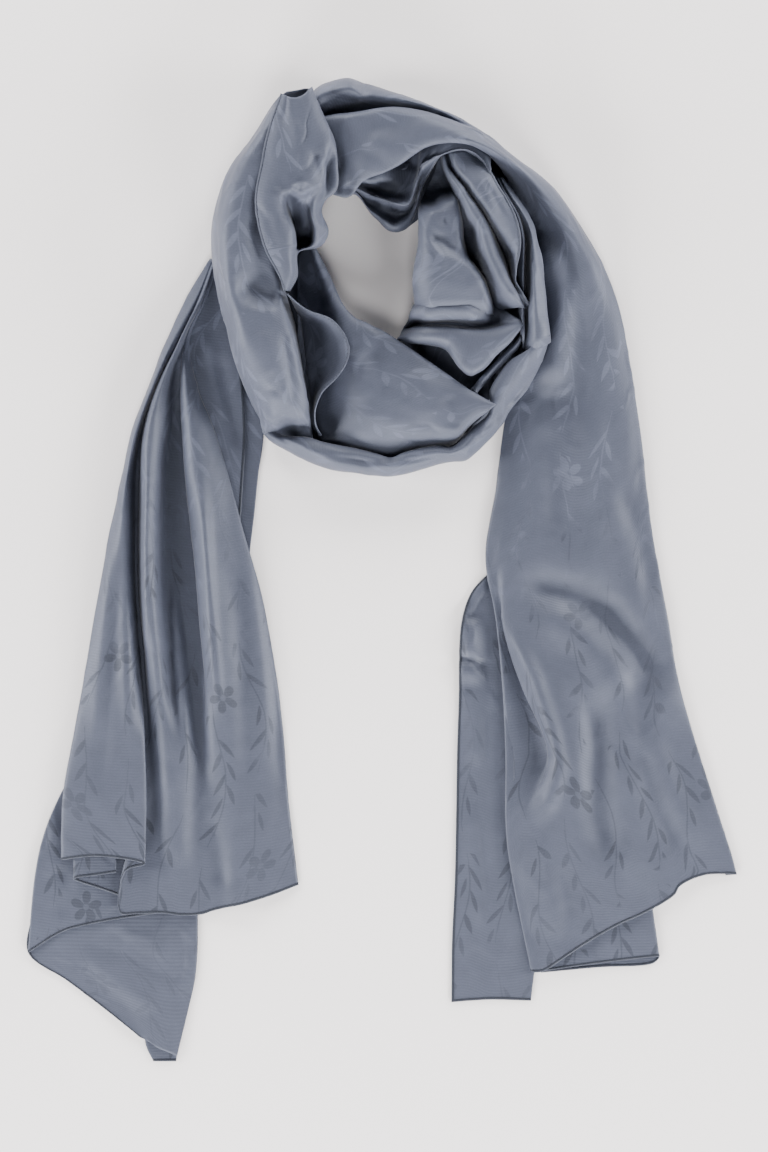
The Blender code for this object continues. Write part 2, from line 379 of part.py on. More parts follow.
FRONT_ROLL = (
    Fold("lip tuck", (0.5, 0.4, 0.3, 0.2, 0.2, 0.2, 0.2, 0.3, 0.3, 0.3, 0.3, 0.3, 0.3, 0.3, 0.3, 0.3,
         0.3, 0.3, 0.3, 0.3, 0.3, 0.3), (19, 16, 14, 13, 13, 13, 12.6, 12.6, 12.4, 12.4, 12.4, 12.4,
         12.4, 12.4, 12.4, 12.4, 12.4, 12.4, 12.4, 12.4, 10, 8)),
    Fold("lip", 0.0, (25, 25, 24.6, 23.4, 21, 19, 18, 18, 17, 16, 15.6, 15.6, 15.8, 16, 16, 16, 16, 16,
         16.4, 16, 13, 11)),
    Fold("lip crown", 0.14, (25.8, 25.8, 25.2, 24.4, 23, 21, 20, 20, 19.6, 19.2, 19.2, 19, 19, 19,
         18.6, 19, 19, 19, 19.6, 19, 16, 13)),
    Fold("crown", 0.4, (25.6, 24.8, 24, 23.4, 22.8, 22, 21.4, 21.4, 21.6, 22, 22, 22, 21.6, 21.4, 21.2,
         21.2, 21.6, 22, 22.4, 22, 18, 14)),
    Fold("side", 0.8, (24, 21.4, 19, 18, 17.5, 17.5, 17.5, 17.4, 17, 16.8, 16.4, 16.4, 16, 16, 16, 16,
         16, 16.4, 17, 17, 15, 12)),
    Fold("outline", 1.0, (21, 16.4, 13.4, 12.8, 12.6, 12.4, 12, 11, 10, 9.4, 9, 8.4, 8, 8, 8, 8, 8, 8,
         8, 8.4, 8, 8)),
    Fold("foot", 0.84, (17, 12.4, 10.4, 9.8, 9.4, 8.6, 7.6, 5, 3, 1.6, 1, 0.6, 0.6, 0.6, 0.6, 0.6, 0.6,
         0.6, 0.6, 0.6, 0.8, 2)),
)

# ---------------------------------------------------------------- ring, right side
RIGHT_GATHERS_RULERS = level(
    266.2, 261, 255.1, 248, 239.5, 231.1, 222, 212.9, 203.8, 195.3, 187.5, 179.7
)
RIGHT_GATHERS = (
    Fold("foot", (37.4, 36.7, 34.8, 31.5, 28.9, 27.6, 27.6, 27, 25.7, 24.4, 24.4, 25),
         (10, 8, 6, 3, 3, 3, 3, 3, 3, 3, 3, 3), 0, 0),
    Fold("inner side", (36.5, 35, 32.8, 29.3, 26.6, 24.8, 24.5, 24.2, 22.8, 21.4, 21.1, 21.8),
         (12, 10, 9, 7, 12, 18, 18, 18, 18, 18, 18, 16), 0, 0),
    Fold("left edge", (36.1, 34.5, 32.2, 28.5, 25.7, 23.9, 23.6, 23.5, 22, 20.6, 20.3, 21.1),
         (13, 11, 10, 8, 15, 26, 28, 28, 28, 28, 27, 24), 2, 1),
    Fold("left crown", (36.7, 36.1, 35, 33.5, 34.1, 30.2, 28.7, 28.9, 30.2, 30.9, 30.9, 31.5),
         (13.6, 11.6, 10.6, 9, 20, 32, 34.6, 36, 37, 37.6, 37, 34), 3, 1.5),
    Fold("left ridge", (37.2, 37.4, 37.6, 39.3, 42.6, 41.3, 38, 39.3, 43.2, 49.1, 53, 55.6),
         (14.4, 12.4, 11.4, 9.6, 29, 34, 34, 34.6, 36.6, 37, 36.4, 33), 3, 2),
    Fold("valley lip", (37.6, 38.4, 39.8, 43.6, 47.4, 48.7, 49.1, 49.7, 53, 59.7, 64, 67.3),
         (16, 14, 12.6, 12, 31, 32.6, 32.6, 32.6, 33, 33, 33, 30), 3, 2.2),
    Fold("valley", (38, 39.1, 40.9, 45, 48.4, 50.1, 52.3, 53.6, 57.1, 63.1, 67.3, 70.3),
         (19, 17, 16, 16, 20, 17, 11.4, 10.4, 10.2, 10.8, 12.6, 14), 1.5, 2.4),
    Fold("pleat flank", (38.5, 40, 42.3, 46.5, 50.5, 53.4, 57.3, 58.4, 61.7, 66, 69.9, 73.8),
         (24, 25, 25, 27, 29, 28, 22, 19, 20, 22.6, 24, 25), 0, 2.8),
    Fold("pleat crest", (39.2, 41.7, 44.3, 49.3, 54.3, 58.8, 63.8, 66.2, 68.8, 72.7, 76.6, 82.2),
         (27, 30, 33, 36, 38, 38.4, 38.4, 38, 37.4, 36.4, 35.4, 34.4), 0, 3),
    Fold("crease lip", (39.8, 42.6, 46.1, 51.9, 57.3, 63.6, 68.8, 71.8, 75.1, 78.6, 82, 86.5),
         (27.6, 30, 32.4, 35, 36, 36, 35.4, 35, 34.4, 34, 33.4, 32.8), 0, 3.6),
    Fold("crease", (40.6, 43.6, 47.3, 53.2, 58.7, 65.1, 70.5, 75.1, 79.8, 82.1, 84, 88.1),
         (25, 26, 27, 28, 26, 24, 21, 17, 14, 15, 22, 29), 0, 4.4),
    Fold("edge flank", (45.2, 48.4, 52.6, 58.6, 63.6, 69.5, 75.1, 79.6, 83.5, 84.2, 84.8, 89.1),
         (31, 33, 35.4, 37.4, 38, 37.4, 36.4, 34, 29, 27, 28, 29.6), 0, 5.4),
    Fold("edge crown", (54.3, 57.5, 61.8, 67.9, 72.7, 78.6, 83.5, 86.5, 86.8, 86, 85.4, 89.9),
         (31.4, 34.6, 37.6, 40, 41, 41, 40, 38.4, 35.6, 33, 30.6, 30), 0, 6),
    Fold("hem", (65.3, 68.8, 72.1, 76.1, 81.1, 85.3, 88.2, 89.5, 88.5, 86.8, 85.9, 90.5),
         (30, 33, 36.4, 39, 40, 40, 39.4, 38.4, 37, 35, 32.4, 30.4), 0, 1.2),
)

OUTER_STRIP_RULERS = level(
    254.5, 246.7, 238.9, 231.1, 222, 212.9, 203.8, 192.7, 179.7, 166.7, 156.3
)
OUTER_STRIP = (
    Fold("hidden edge", (72.5, 75.7, 79.6, 83.5, 85.7, 87.2, 87, 87, 88.5, 89.1, 89.4),
         (22, 24, 25, 25, 24, 22, 20, 19, 18, 18, 20), 0),
    Fold("left flank", (73.1, 76.8, 80.9, 85.1, 87.7, 89.1, 89, 88.7, 89.9, 90, 90.4),
         (24, 26, 27.4, 28, 27.4, 26, 25, 24, 22, 22, 24), 0.4),
    Fold("left crown", (74.2, 77.9, 82.4, 86.8, 89.8, 91.2, 91.1, 90.8, 91.1, 90.9, 91.1),
         (25, 27.4, 29.6, 31, 30.6, 30, 30, 29.6, 26, 25, 26), 0.8),
    Fold("dark line", (75.1, 79.1, 83.5, 88.1, 91.6, 93, 92.6, 92.9, 92.9, 92.4, 92),
         (24, 26, 27.6, 27.6, 25, 18, 17, 18, 18, 18, 20), 9),
    Fold("right crown", (76.4, 80.9, 85.9, 90.8, 95.1, 96.8, 97.4, 97.8, 98.6, 99.1, 100),
         (25, 27, 29.4, 31.4, 32, 32, 32, 32, 31.4, 31, 29.6), 5.6),
    Fold("outline", (77.9, 82.9, 88.2, 93.4, 97.8, 100.3, 102.1, 103.4, 104.8, 106, 108),
         (21, 22, 23, 24, 24.6, 25, 25, 25, 24.6, 24.4, 24.6), 1),
    Fold("foot", (76.1, 80.7, 85.6, 90.7, 95, 97.2, 98.9, 100.2, 101.6, 103, 106),
         (16, 16, 15, 14, 12, 10, 9, 9, 10, 13, 17), 1),
)

# Upright rulers over y = 100, from the hole's side to the corner of the ring.
GATHERS_FRONT_RULERS = upright(100.0, 12.7, 20.5, 30.9, 40.6, 49.1, 56.9, 64.7, 73.1, 80.9, 88.1)
GATHERS_FRONT = (
    Fold("hidden top", (63.5, 70, 79.1, 80.4, 81, 81.7, 82.3, 75.2, 68, 62.8),
         (6, 12, 20, 22, 22, 21, 14, 10, 17, 22.6)),
    Fold("upper crease", (62.8, 72.6, 76.7, 77.4, 77.9, 78.7, 79.1, 73.9, 67.4, 62.6),
         (7, 14, 22, 23.4, 24, 23, 16, 11, 18, 23.6)),
    Fold("roll crown", (60.9, 68.7, 70.6, 71, 71.3, 71.5, 71.3, 68.7, 65.4, 62.2),
         (8, 24, 30, 31, 31.4, 31, 27, 15, 19, 24.4)),
    Fold("roll flank", (58.9, 64.5, 64.1, 64.1, 63.9, 63.5, 63.1, 63.9, 63.2, 61.7),
         (7, 20, 27.4, 28.4, 28.6, 28, 25, 15.4, 19.6, 24.6)),
    Fold("lower crease", (56.3, 60.2, 60.5, 60.6, 60, 59.2, 58.9, 60, 60.9, 60.9),
         (6, 8, 15, 17.4, 18, 18, 17, 17, 21, 25)),
    Fold("triangle top", (52.2, 56.3, 57.4, 57.6, 56.7, 55.7, 55.4, 57, 58, 59.6),
         (13, 19, 24, 26, 27, 27.4, 27, 26, 26.4, 26.4)),
    Fold("triangle crown", (50.9, 52.7, 52.4, 51.1, 45.9, 42, 44, 49.8, 53.5, 58),
         (14, 21, 26, 28, 29.6, 30, 30, 29.4, 28.6, 27.4)),
    Fold("triangle edge", (49.8, 48.5, 47.4, 44.6, 33.6, 28.4, 32, 41.1, 48.3, 56.3),
         (13, 18, 21, 23, 26.4, 27, 27, 27, 27, 26.8)),
    Fold("triangle side", (49.6, 48, 46.7, 43.6, 32.9, 27.7, 31.4, 40.5, 47.6, 55.8),
         (11, 12, 12.6, 13, 14, 14.4, 15, 16.4, 19.6, 23.6)),
    Fold("hidden foot", (50.7, 50.1, 49.8, 47.9, 39.4, 36.2, 37.5, 43.3, 49.2, 56.3),
         (9, 8, 8, 8, 8, 8, 8.6, 10, 17, 22.4)),
)

# Rulers from the strip's left edge to its right one.
GATHERS_STRIP_RULERS = (
    (89, 153.1, 90.2, 149.8), (86.8, 149.6, 88.5, 145.4), (80.9, 143.7, 82.2, 138.1),
    (71.2, 133.8, 74.2, 129.9), (63.4, 125.1, 66, 121.2), (57.3, 117.7, 61, 115),
)
GATHERS_STRIP = (
    Fold("left foot", 0.1, (20, 16, 15, 15, 15, 15)),
    Fold("left edge", 0.0, (22, 21, 20, 19, 18, 17)),
    Fold("crown", 0.4, (24, 24, 23, 22, 21, 19)),
    Fold("right edge", 0.96, (22, 21, 20, 19, 18, 17)),
    Fold("right foot", 0.9, (19, 16, 15, 15, 15, 15)),
)

# Upright rulers over y = 200: the bunch under the nape stretch.
NAPE_BUNCH_RULERS = upright(200.0, -25, -17.2, -9.4, -2.9, 3.6, 10.1, 16.6, 21.8, 25)
NAPE_BUNCH = (
    Fold("foot", (49.3, 48, 38.2, 33, 28.5, 25.9, 29.8, 36.3, 48), (3,)),
    Fold("inner side", (45.4, 45.1, 34.3, 28.2, 22.6, 21.6, 24.6, 30.4, 45.4), (9,)),
    Fold("inner edge", (44.5, 44.3, 33.4, 27.2, 21.3, 20.4, 23.5, 29.4, 44.3),
         (15, 15, 15, 15, 15, 15, 15, 16, 19)),
    Fold("fold 1 crown", (45.8, 45.4, 35.6, 30.4, 25.9, 24.6, 27.8, 34.3, 45.8),
         (18, 18, 19, 20, 20, 20, 20, 21, 23)),
    Fold("fold 1 valley", (46.7, 46.2, 38.9, 35.6, 32, 30.4, 33, 38.2, 47.3),
         (17, 16, 13, 12, 11, 10, 11, 16, 24)),
    Fold("hem side", (47.6, 46.9, 42.1, 40.2, 37.8, 35.9, 37.6, 44.1, 51.9),
         (19, 19, 18, 18, 18, 18, 19, 23, 26)),
    Fold("hem", (48.9, 48, 43.7, 41.6, 39.3, 37.3, 38.9, 46.7, 54.5),
         (21, 22, 24, 25, 26, 26.6, 27, 28, 29)),
    Fold("hem valley", (51.9, 50.6, 48, 46.3, 44.7, 44.1, 46, 53.8, 60.3),
         (20, 18, 13, 12, 12, 14, 18, 22, 26)),
    Fold("upper fold", (55.8, 54.5, 52.8, 52.9, 53.8, 55.8, 58.4, 62.3, 66.2),
         (22, 23, 24, 25, 26, 27, 27, 27, 27)),
    Fold("hidden end", (62.3, 62.3, 62.3, 63.6, 65.5, 66.8, 68.8, 70.7, 71.4),
         (20, 20, 21, 22, 23, 24, 24, 24, 24)),
)

STRETCHES = {
    "left_tail": (LEFT_TAIL_RULERS, LEFT_TAIL),
    "left_tail_lap": (LEFT_TAIL_LAP_RULERS, LEFT_TAIL_LAP),
    "left_tail_edge": (LEFT_TAIL_EDGE_RULERS, LEFT_TAIL_EDGE),
    "left_tail_under": (LEFT_TAIL_UNDER_RULERS, LEFT_TAIL_UNDER),
    "left_tail_corner": (LEFT_TAIL_CORNER_RULERS, LEFT_TAIL_CORNER),
    "left_tail_tip": (LEFT_TAIL_TIP_RULERS, LEFT_TAIL_TIP),
    "left_band": (LEFT_BAND_RULERS, LEFT_BAND),
    "cuff": (CUFF_RULERS, CUFF),
    "inner_margin": (INNER_MARGIN_RULERS, INNER_MARGIN),
    "front_band": (FRONT_BAND_RULERS, FRONT_BAND),
    "front_roll": (FRONT_ROLL_RULERS, FRONT_ROLL),
    "right_gathers": (RIGHT_GATHERS_RULERS, RIGHT_GATHERS),
    "outer_strip": (OUTER_STRIP_RULERS, OUTER_STRIP),
    "gathers_front": (GATHERS_FRONT_RULERS, GATHERS_FRONT),
    "gathers_strip": (GATHERS_STRIP_RULERS, GATHERS_STRIP),
    "nape_bunch": (NAPE_BUNCH_RULERS, NAPE_BUNCH),
    "right_tail": (RIGHT_TAIL_RULERS, RIGHT_TAIL),
    "right_tail_under": (RIGHT_TAIL_UNDER_RULERS, RIGHT_TAIL_UNDER),
    "right_tail_flap": (RIGHT_TAIL_FLAP_RULERS, RIGHT_TAIL_FLAP),
}


# ---------------------------------------------------------------- hidden layers of the ring
# The rounded solid under the walls: how far it reaches from the ring's centre, every 10 degrees
# anticlockwise from the right. Its top follows the walls over it.
CORE_CENTRE = (-8.0, 198.0)
CORE_INNER = (
    37, 39, 40, 44, 51, 68, 84, 62, 46, 48, 54, 60, 61, 57, 53, 50, 49, 49,
    49, 39, 37, 37, 40, 42, 43, 47, 50, 55, 59, 66, 68, 52, 46, 47, 42, 38,
)
CORE_OUTER = (
    99, 97, 108, 115, 108, 106, 104, 104, 104, 101, 97, 98, 104, 104, 100, 99, 99, 95, 92, 91,
    88, 89, 93, 101, 109, 118, 125, 127, 127, 126, 125, 120, 106, 97, 101, 100,
)
CORE_GAP = 1.5  # between the core and the wall over it
CORE_OPEN = 9.0  # its height where no wall lies over it
CORE_LAYER = 1.0  # how far the layers step in and out at its edges
CORE_ROWS = 72
CORE_TOPS = 8


def lowered(room, near_angles, near_radii):
    """The lowest room within so many cells each way, so that flat faces between them stay below it."""
    turned_rooms = [np.roll(room, i, axis=0) for i in range(-near_angles, near_angles + 1)]
    room = np.min(turned_rooms, axis=0)
    padded = np.pad(room, ((0, 0), (near_radii, near_radii)), mode="edge")
    shifts = range(2 * near_radii + 1)
    return np.min([padded[:, i : i + room.shape[1]] for i in shifts], axis=0)


def room_under(walls, angles, radii):
    """Height of the lowest wall over each place of a polar grid, by rays from the surface up."""
    points, faces = [], []
    for grid in walls:
        index = len(points) + np.arange(grid[..., 0].size).reshape(grid.shape[:2])
        points.extend(grid.reshape(-1, 3).tolist())
        corners = (index[:-1, :-1], index[1:, :-1], index[1:, 1:], index[:-1, 1:])
        faces.extend(np.stack(corners, axis=-1).reshape(-1, 4).tolist())
    tree = BVHTree.FromPolygons(points, faces)
    room = np.full((len(angles), len(radii)), CORE_OPEN + CORE_GAP)
    for i, angle in enumerate(angles):
        for j, radius in enumerate(radii):
            x = CORE_CENTRE[0] + radius * cos(angle)
            y = CORE_CENTRE[1] + radius * sin(angle)
            hit = tree.ray_cast(Vector((x, y, -1.0)), Vector((0.0, 0.0, 1.0)))[0]
            if hit is not None:
                room[i, j] = hit.z - WALL / 2
    return room


def looped(values, angles):
    """A table of one value every 10 degrees, read at angles in degrees, round the ring."""
    return np.interp(angles, np.arange(37) * 10.0, list(values) + [values[0]])


def core_sections():
    """Closed sections of the core (row round the ring, point, xyz) in mm."""
    fine = np.arange(144) * 2.5
    radii = np.arange(30.0, 142.0, 1.5)
    walls = [surface(*stretch) for stretch in STRETCHES.values()]
    room = lowered(room_under(walls, np.radians(fine), radii) - CORE_GAP, 2, 5)
    rows = []
    for degrees in np.arange(CORE_ROWS) * 360 / CORE_ROWS:
        inner, outer = looped(CORE_INNER, degrees), looped(CORE_OUTER, degrees)
        reach = np.linspace(inner + CORE_LAYER, outer - CORE_LAYER, CORE_TOPS)
        heights = np.interp(reach, radii, room[int(round(degrees / 2.5))])
        heights = np.maximum(heights, 1.5)
        section = [(inner + CORE_LAYER * (step % 2 == 0), heights[0] * step / 4) for step in range(4)]
        section += list(zip(reach, heights))
        section += [
            (outer - CORE_LAYER * (step % 2 == 0), heights[-1] * step / 4) for step in (3, 2, 1, 0)
        ]
        angle = radians(degrees)
        rows.append(
            [
                (CORE_CENTRE[0] + r * cos(angle), CORE_CENTRE[1] + r * sin(angle), z)
                for r, z in section
            ]
        )
    return np.array(rows)


def cloth_material(name):
    material = bpy.data.materials.new(name)
    material.use_nodes = True
    shader = material.node_tree.nodes["Principled BSDF"]
    shader.inputs["Base Color"].default_value = CLOTH_COLOUR
    shader.inputs["Roughness"].default_value = CLOTH_ROUGHNESS
    shader.inputs["Metallic"].default_value = 0.0
    return material


def add_object(name, mesh, collection):
    obj = bpy.data.objects.new(name, mesh)
    mesh.materials.append(cloth_material(name))
    mesh.shade_smooth()
    collection.objects.link(obj)
    return obj


def grid_mesh(name, grid):
    """An open mesh laid through a grid of points in mm."""
    rows, columns = grid.shape[:2]
    shape = bmesh.new()
    bmesh.ops.create_grid(shape, x_segments=columns - 1, y_segments=rows - 1, size=1.0)
    for vertex, point in zip(shape.verts, grid.reshape(-1, 3)):
        vertex.co = Vector(point) * MM
    bmesh.ops.recalc_face_normals(shape, faces=shape.faces)
    mesh = bpy.data.meshes.new(name)
    shape.to_mesh(mesh)
    shape.free()
    return mesh


def add_wall(name, rulers, folds, collection):
    obj = add_object(name, grid_mesh(name, surface(rulers, folds)), collection)
    wall = obj.modifiers.new("wall", "SOLIDIFY")
    wall.thickness = WALL * MM
    wall.offset = 0.0
    return obj


def add_core(collection):
    """The rounded solid that the ring's hidden layers make, closed round the neck hole."""
    sections = core_sections()
    rows, columns = sections.shape[:2]
    shape = bmesh.new()
    vertices = [shape.verts.new(Vector(point) * MM) for point in sections.reshape(-1, 3)]
    for row in range(rows):
        for column in range(columns):
            here, onward = row * columns, (row + 1) % rows * columns
            beside = (column + 1) % columns
            corners = (here + column, here + beside, onward + beside, onward + column)
            shape.faces.new([vertices[corner] for corner in corners])
    bmesh.ops.recalc_face_normals(shape, faces=shape.faces)
    mesh = bpy.data.meshes.new("neck_core")
    shape.to_mesh(mesh)
    shape.free()
    return add_object("neck_core", mesh, collection)


def main():
    for old in list(bpy.data.objects):
        bpy.data.objects.remove(old, do_unlink=True)
    collection = bpy.data.collections.new("hijab")
    bpy.context.scene.collection.children.link(collection)
    for name, (rulers, folds) in STRETCHES.items():
        add_wall(name, rulers, folds, collection)
    add_core(collection)


main()
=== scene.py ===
"""Looks of a satin jacquard hijab, wound once into a neck ring and laid flat, seen from above.

Positions in the tables are millimetres in the part's own frame: x to the right, y towards the nape,
height over the surface.
"""

from collections import namedtuple
from math import ceil, cos, pi, radians, sin

import bpy
import numpy as np
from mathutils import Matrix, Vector, noise
from mathutils.bvhtree import BVHTree


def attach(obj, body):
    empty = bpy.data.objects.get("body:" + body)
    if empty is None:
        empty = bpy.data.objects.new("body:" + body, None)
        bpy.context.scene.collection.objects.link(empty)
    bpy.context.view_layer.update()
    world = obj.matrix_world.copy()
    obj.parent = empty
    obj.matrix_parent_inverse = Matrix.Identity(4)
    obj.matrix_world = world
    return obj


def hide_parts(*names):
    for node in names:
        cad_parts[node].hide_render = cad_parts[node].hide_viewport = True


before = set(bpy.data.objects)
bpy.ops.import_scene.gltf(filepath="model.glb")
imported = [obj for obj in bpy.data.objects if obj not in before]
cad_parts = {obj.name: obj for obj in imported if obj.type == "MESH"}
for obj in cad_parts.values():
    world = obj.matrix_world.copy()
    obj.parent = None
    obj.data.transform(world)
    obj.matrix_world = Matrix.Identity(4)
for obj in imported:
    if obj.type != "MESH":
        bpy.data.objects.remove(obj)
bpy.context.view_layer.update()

MM = 0.001
SHEET = 0.5  # satin and its folds, thinner than the solids' walls
FLOOR = 0.6  # lowest height of a sheet's middle
FINE_ALONG = 1.9  # mesh step along the folds
FINE_ACROSS = 1.3  # mesh step across them
TINY = 1e-9  # keeps a length of nought from dividing
SHORTEST_SPAN = 1e-4  # of a spline
STRETCHED = 0.25  # share of a mesh step by which the steps of a span may be longer

# across and height hold one value for each ruler, or fewer that are spread evenly over the rulers.
# start and end are how far the cloth runs on before the first ruler and past the last one.
Fold = namedtuple("Fold", "name across height end start", defaults=(0.0, 0.0))


def level(*ys):
    """Rulers laid level: across is x."""
    return [(0.0, y, 1.0, y) for y in ys]


def upright(base, *xs):
    """Rulers laid upright: across is y over the base."""
    return [(x, base, x, base + 1.0) for x in xs]


def turned(x, y, *angles):
    """Rulers turned about a point: across is the distance from it."""
    return [(x, y, x + cos(radians(a)), y + sin(radians(a))) for a in angles]


def shifted(x, *ys):
    """Level rulers that start at x: across is the distance to the right of it."""
    return [(x, y, x + 1.0, y) for y in ys]


def unit(vectors):
    return vectors / np.maximum(np.linalg.norm(vectors, axis=-1, keepdims=True), TINY)


def spread(values, count):
    values = np.atleast_1d(np.asarray(values, float))
    return np.interp(np.linspace(0, 1, count), np.linspace(0, 1, len(values)), values)


def net_of(rulers, folds):
    """Points of every fold line: (fold, ruler, xyz)."""
    rulers = np.array(rulers, float)
    start, way = rulers[:, :2], rulers[:, 2:] - rulers[:, :2]
    onward, back = unit(start[-1] - start[-2]), unit(start[0] - start[1])
    rows = []
    for fold in folds:
        across = spread(fold.across, len(rulers))[:, None]
        row = np.column_stack([start + way * across, spread(fold.height, len(rulers))])
        row[-1, :2] += onward * fold.end
        row[0, :2] += back * fold.start
        rows.append(row)
    return np.array(rows)


def spline(points, counts):
    """Centripetal Catmull-Rom curve through points (axis 0), counts[i] steps in span i."""
    ends = 2 * points[0] - points[1], 2 * points[-1] - points[-2]
    p = np.concatenate([ends[0][None], points, ends[1][None]])
    knots = np.maximum(np.linalg.norm(np.diff(p, axis=0), axis=-1, keepdims=True), SHORTEST_SPAN) ** 0.5
    rows = []
    for i, count in enumerate(counts):
        a, b, c, d = p[i : i + 4]
        before, here, after = knots[i : i + 3]
        leave = here * ((b - a) / before - (c - a) / (before + here) + (c - b) / here)
        reach = here * ((c - b) / here - (d - b) / (here + after) + (d - c) / after)
        for j in range(count + (i == len(counts) - 1)):
            u = j / count
            rows.append(
                (2 * u**3 - 3 * u**2 + 1) * b
                + (u**3 - 2 * u**2 + u) * leave
                + (3 * u**2 - 2 * u**3) * c
                + (u**3 - u**2) * reach
            )
    return np.array(rows)


def steps(net, axis, step):
    """How many mesh steps each span of the net takes along an axis."""
    lengths = np.linalg.norm(np.diff(net, axis=axis), axis=-1).mean(axis=1 - axis)
    return [max(1, ceil(length / step - STRETCHED)) for length in lengths]


def surface(rulers, folds):
    """Grid of points (row along, column across, xyz) of a sheet's middle, in mm."""
    net = net_of(rulers, folds)
    lines = spline(net.transpose(1, 0, 2), steps(net, 1, FINE_ALONG))
    grid = spline(lines.transpose(1, 0, 2), steps(net, 0, FINE_ACROSS)).transpose(1, 0, 2)
    grid[..., 2] = np.maximum(grid[..., 2], FLOOR)
    return grid


# Each stretch of cloth that shows: its rulers from end to end, and its folds from side to side.
STRETCHES = {}

# ---------------------------------------------------------------- left tail
STRETCHES["left_tail"] = level(203, 180, 150, 120, 90, 60, 25, -15, -60, -105, -150, -187), (
    Fold("tuck", (-109, -122, -135, -146, -157, -164, -171, -179, -187, -194, -202, -205),
        (3.6, *[0.6] * 9, 3.6, 3.9)),
    Fold("outline", (-112, -126, -140, -151.5, -163, -169.5, -177, -184.5, -192.3, -200.3, -207.8, -208.4),
        (4.7, 2.6, 2.6, *[2.8] * 6, 3.2, 5.2, 5.6), 0.5),
    Fold("pleat 1 crown", (-110.8, -121, -136, -149, -160, -166, -170, -174, -176, -180, -184, -184),
        (4.9, 6, 10, *[12] * 5, 11.5, 11, 10.5, 10.5), -2),
    Fold("pleat 1 right", (-110.4, -119.5, -134, -147.8, -158, -162.5, -162.8, -162, -158, -154.7, -153.6,
        -154), (4.9, 6.5, 9.6, 9, 7, 6, 6, 6.5, 8, 9, 9.8, 10), 3.3),
    Fold("valley 1", (-110, -118.5, -133, -146.8, -156.5, -160, -160.3, -160, -156.5, -156, -160, -167.5),
        (4.9, 6, 8, 5, 1.5, 0.6, 0.6, 0.6, 1.5, 3, 6.6, 8), 8),
    Fold("valley 1 tuck", (-109.6, -118, -132, -145.5, -152.5, -154, -154.5, -155.5, -154, -152.5, -157,
        -170.5), (4.9, 6, 7.5, 4.5, 1.5, 0.6, 0.6, 0.6, 0.8, 1.5, 4.6, 5.6), 35),
    Fold("pleat 2 left", (-109.2, -117.5, -131.5, -146.3, -155, -157.6, -158, -158.3, -153, -149.5, -149,
        -160), (4.9, 6.8, 9, 9, 8, 7.4, 7.4, 6.5, 4.5, 3.4, 4, 6.8), 35.5),
    Fold("pleat 2 crown", (-108.8, -117, -131, -143.5, -151, -153, -153, -152, -146, -141, -140, -143),
        (4.9, 8, 12, 14, 15, 15, 15, 14, 12, 10, 8, 7), 35),
    Fold("pleat 2 flank", (-108.5, -116, -130, -139.5, -142, -143, -143, -141, -134, -129, -130, -131),
        (4.9, 8, 11, *[9] * 7, 7.5, 6), 36.5),
    Fold("trough 2", (-108.2, -115.5, -129, -136, -136, -135, -133, -129, -124, -122, -120, -118),
        (4.9, 6.5, 8, 3, 1, 0.6, 0.6, 0.6, 1.5, 4.5, 3.4, 2.8), 36),
    Fold("trough 2 tuck", (-107.9, -115, -128, -128.5, -127, -124.5, -120.5, -116.5, -114, -116, -114,
        -110), (4.9, 5.5, 6, 3, 1, 0.6, 0.6, 0.6, 1.5, 5, 3.8, 2.4), 33.5),
    Fold("pleat 3 left", (-107.6, -114.8, -128.3, -131, -129.8, -128, -124, -120.3, -116, -112, -107, -102),
        (4.9, 5, 6, *[7.5] * 5, 6.5, 8, 5.5, 3.4), 31.5),
    Fold("pleat 3 crown", (-107.2, -114.2, -127.5, -127.5, -124, -121, -117, -112, -107, -103, -97, -92),
        (4.9, 5, 7, 12, 14, 15, 15, 14, 13, 10.5, 8, 6), 29.5),
    Fold("pleat 3 middle", (-106.6, -113.6, -126.3, -123.8, -117, -111, -104, -97, -90, -84, -79, -72),
        (4.9, 4.6, 6, 10, 11.5, 12, 12, 11, 9.5, 7.5, 6, 4.4), 23.4),
    Fold("outline right", (-106, -113, -125, -120, -108.8, -99.5, -90, -78.8, -70.4, -64.3, -60.9, -54.6),
        (4.9, *[4.2] * 6, 2.5, 1.2, 0.9, 0.6, 0.6), 16.8),
)

STRETCHES["left_tail_lap"] = level(-178, -188), (
    Fold("upper end", -172.8, 7.4, 7.5),
    Fold("upper middle", -190, 6.6, 10),
    Fold("upper turn", -197.5, 6, 11),
    Fold("turn", -200.6, 5, 12),
    Fold("lower turn", -197, 4, 13.8),
    Fold("lower middle", -185, 3.7, 17.7),
    Fold("lower end", -167, 3.6, 24),
)

# It runs on further out of sight than its solid, under the pleats and the ring.
STRETCHES["left_tail_edge"] = level(204, 174, 148, 118, 90, 62, 36, 10, -12), (
    Fold("strip edge", (-88, -84, -83, -80, -77.2, -80.8, -83.4, -86.4, -88), 0.6),
    Fold("strip middle", (-98, -106, -108, -104, -96, -92, -93, -94, -95.5), 0.6),
    Fold("turn below", (-106, -118, -131, -131, -121, -109, -101, -99, -98.5), 0.7),
    Fold("turn", (-107.5, -120, -133, -133, -123, -111, -103, -101, -100.5), 1.5),
    Fold("turn above", (-106, -118, -131, -131, -121, -109, -101, -99, -98.5), 2.3),
    Fold("back layer", (-101, -110, -114, -108, -101, -98, -97, -96.5, -96.5), (2.6, 3, 2.8, 2.3)),
    Fold("long hem", (-94, -96, -94, -90.5, -89, -90.4, -92, -94, -95), (2.6, 2.4, 2.3, 2.2)),
)

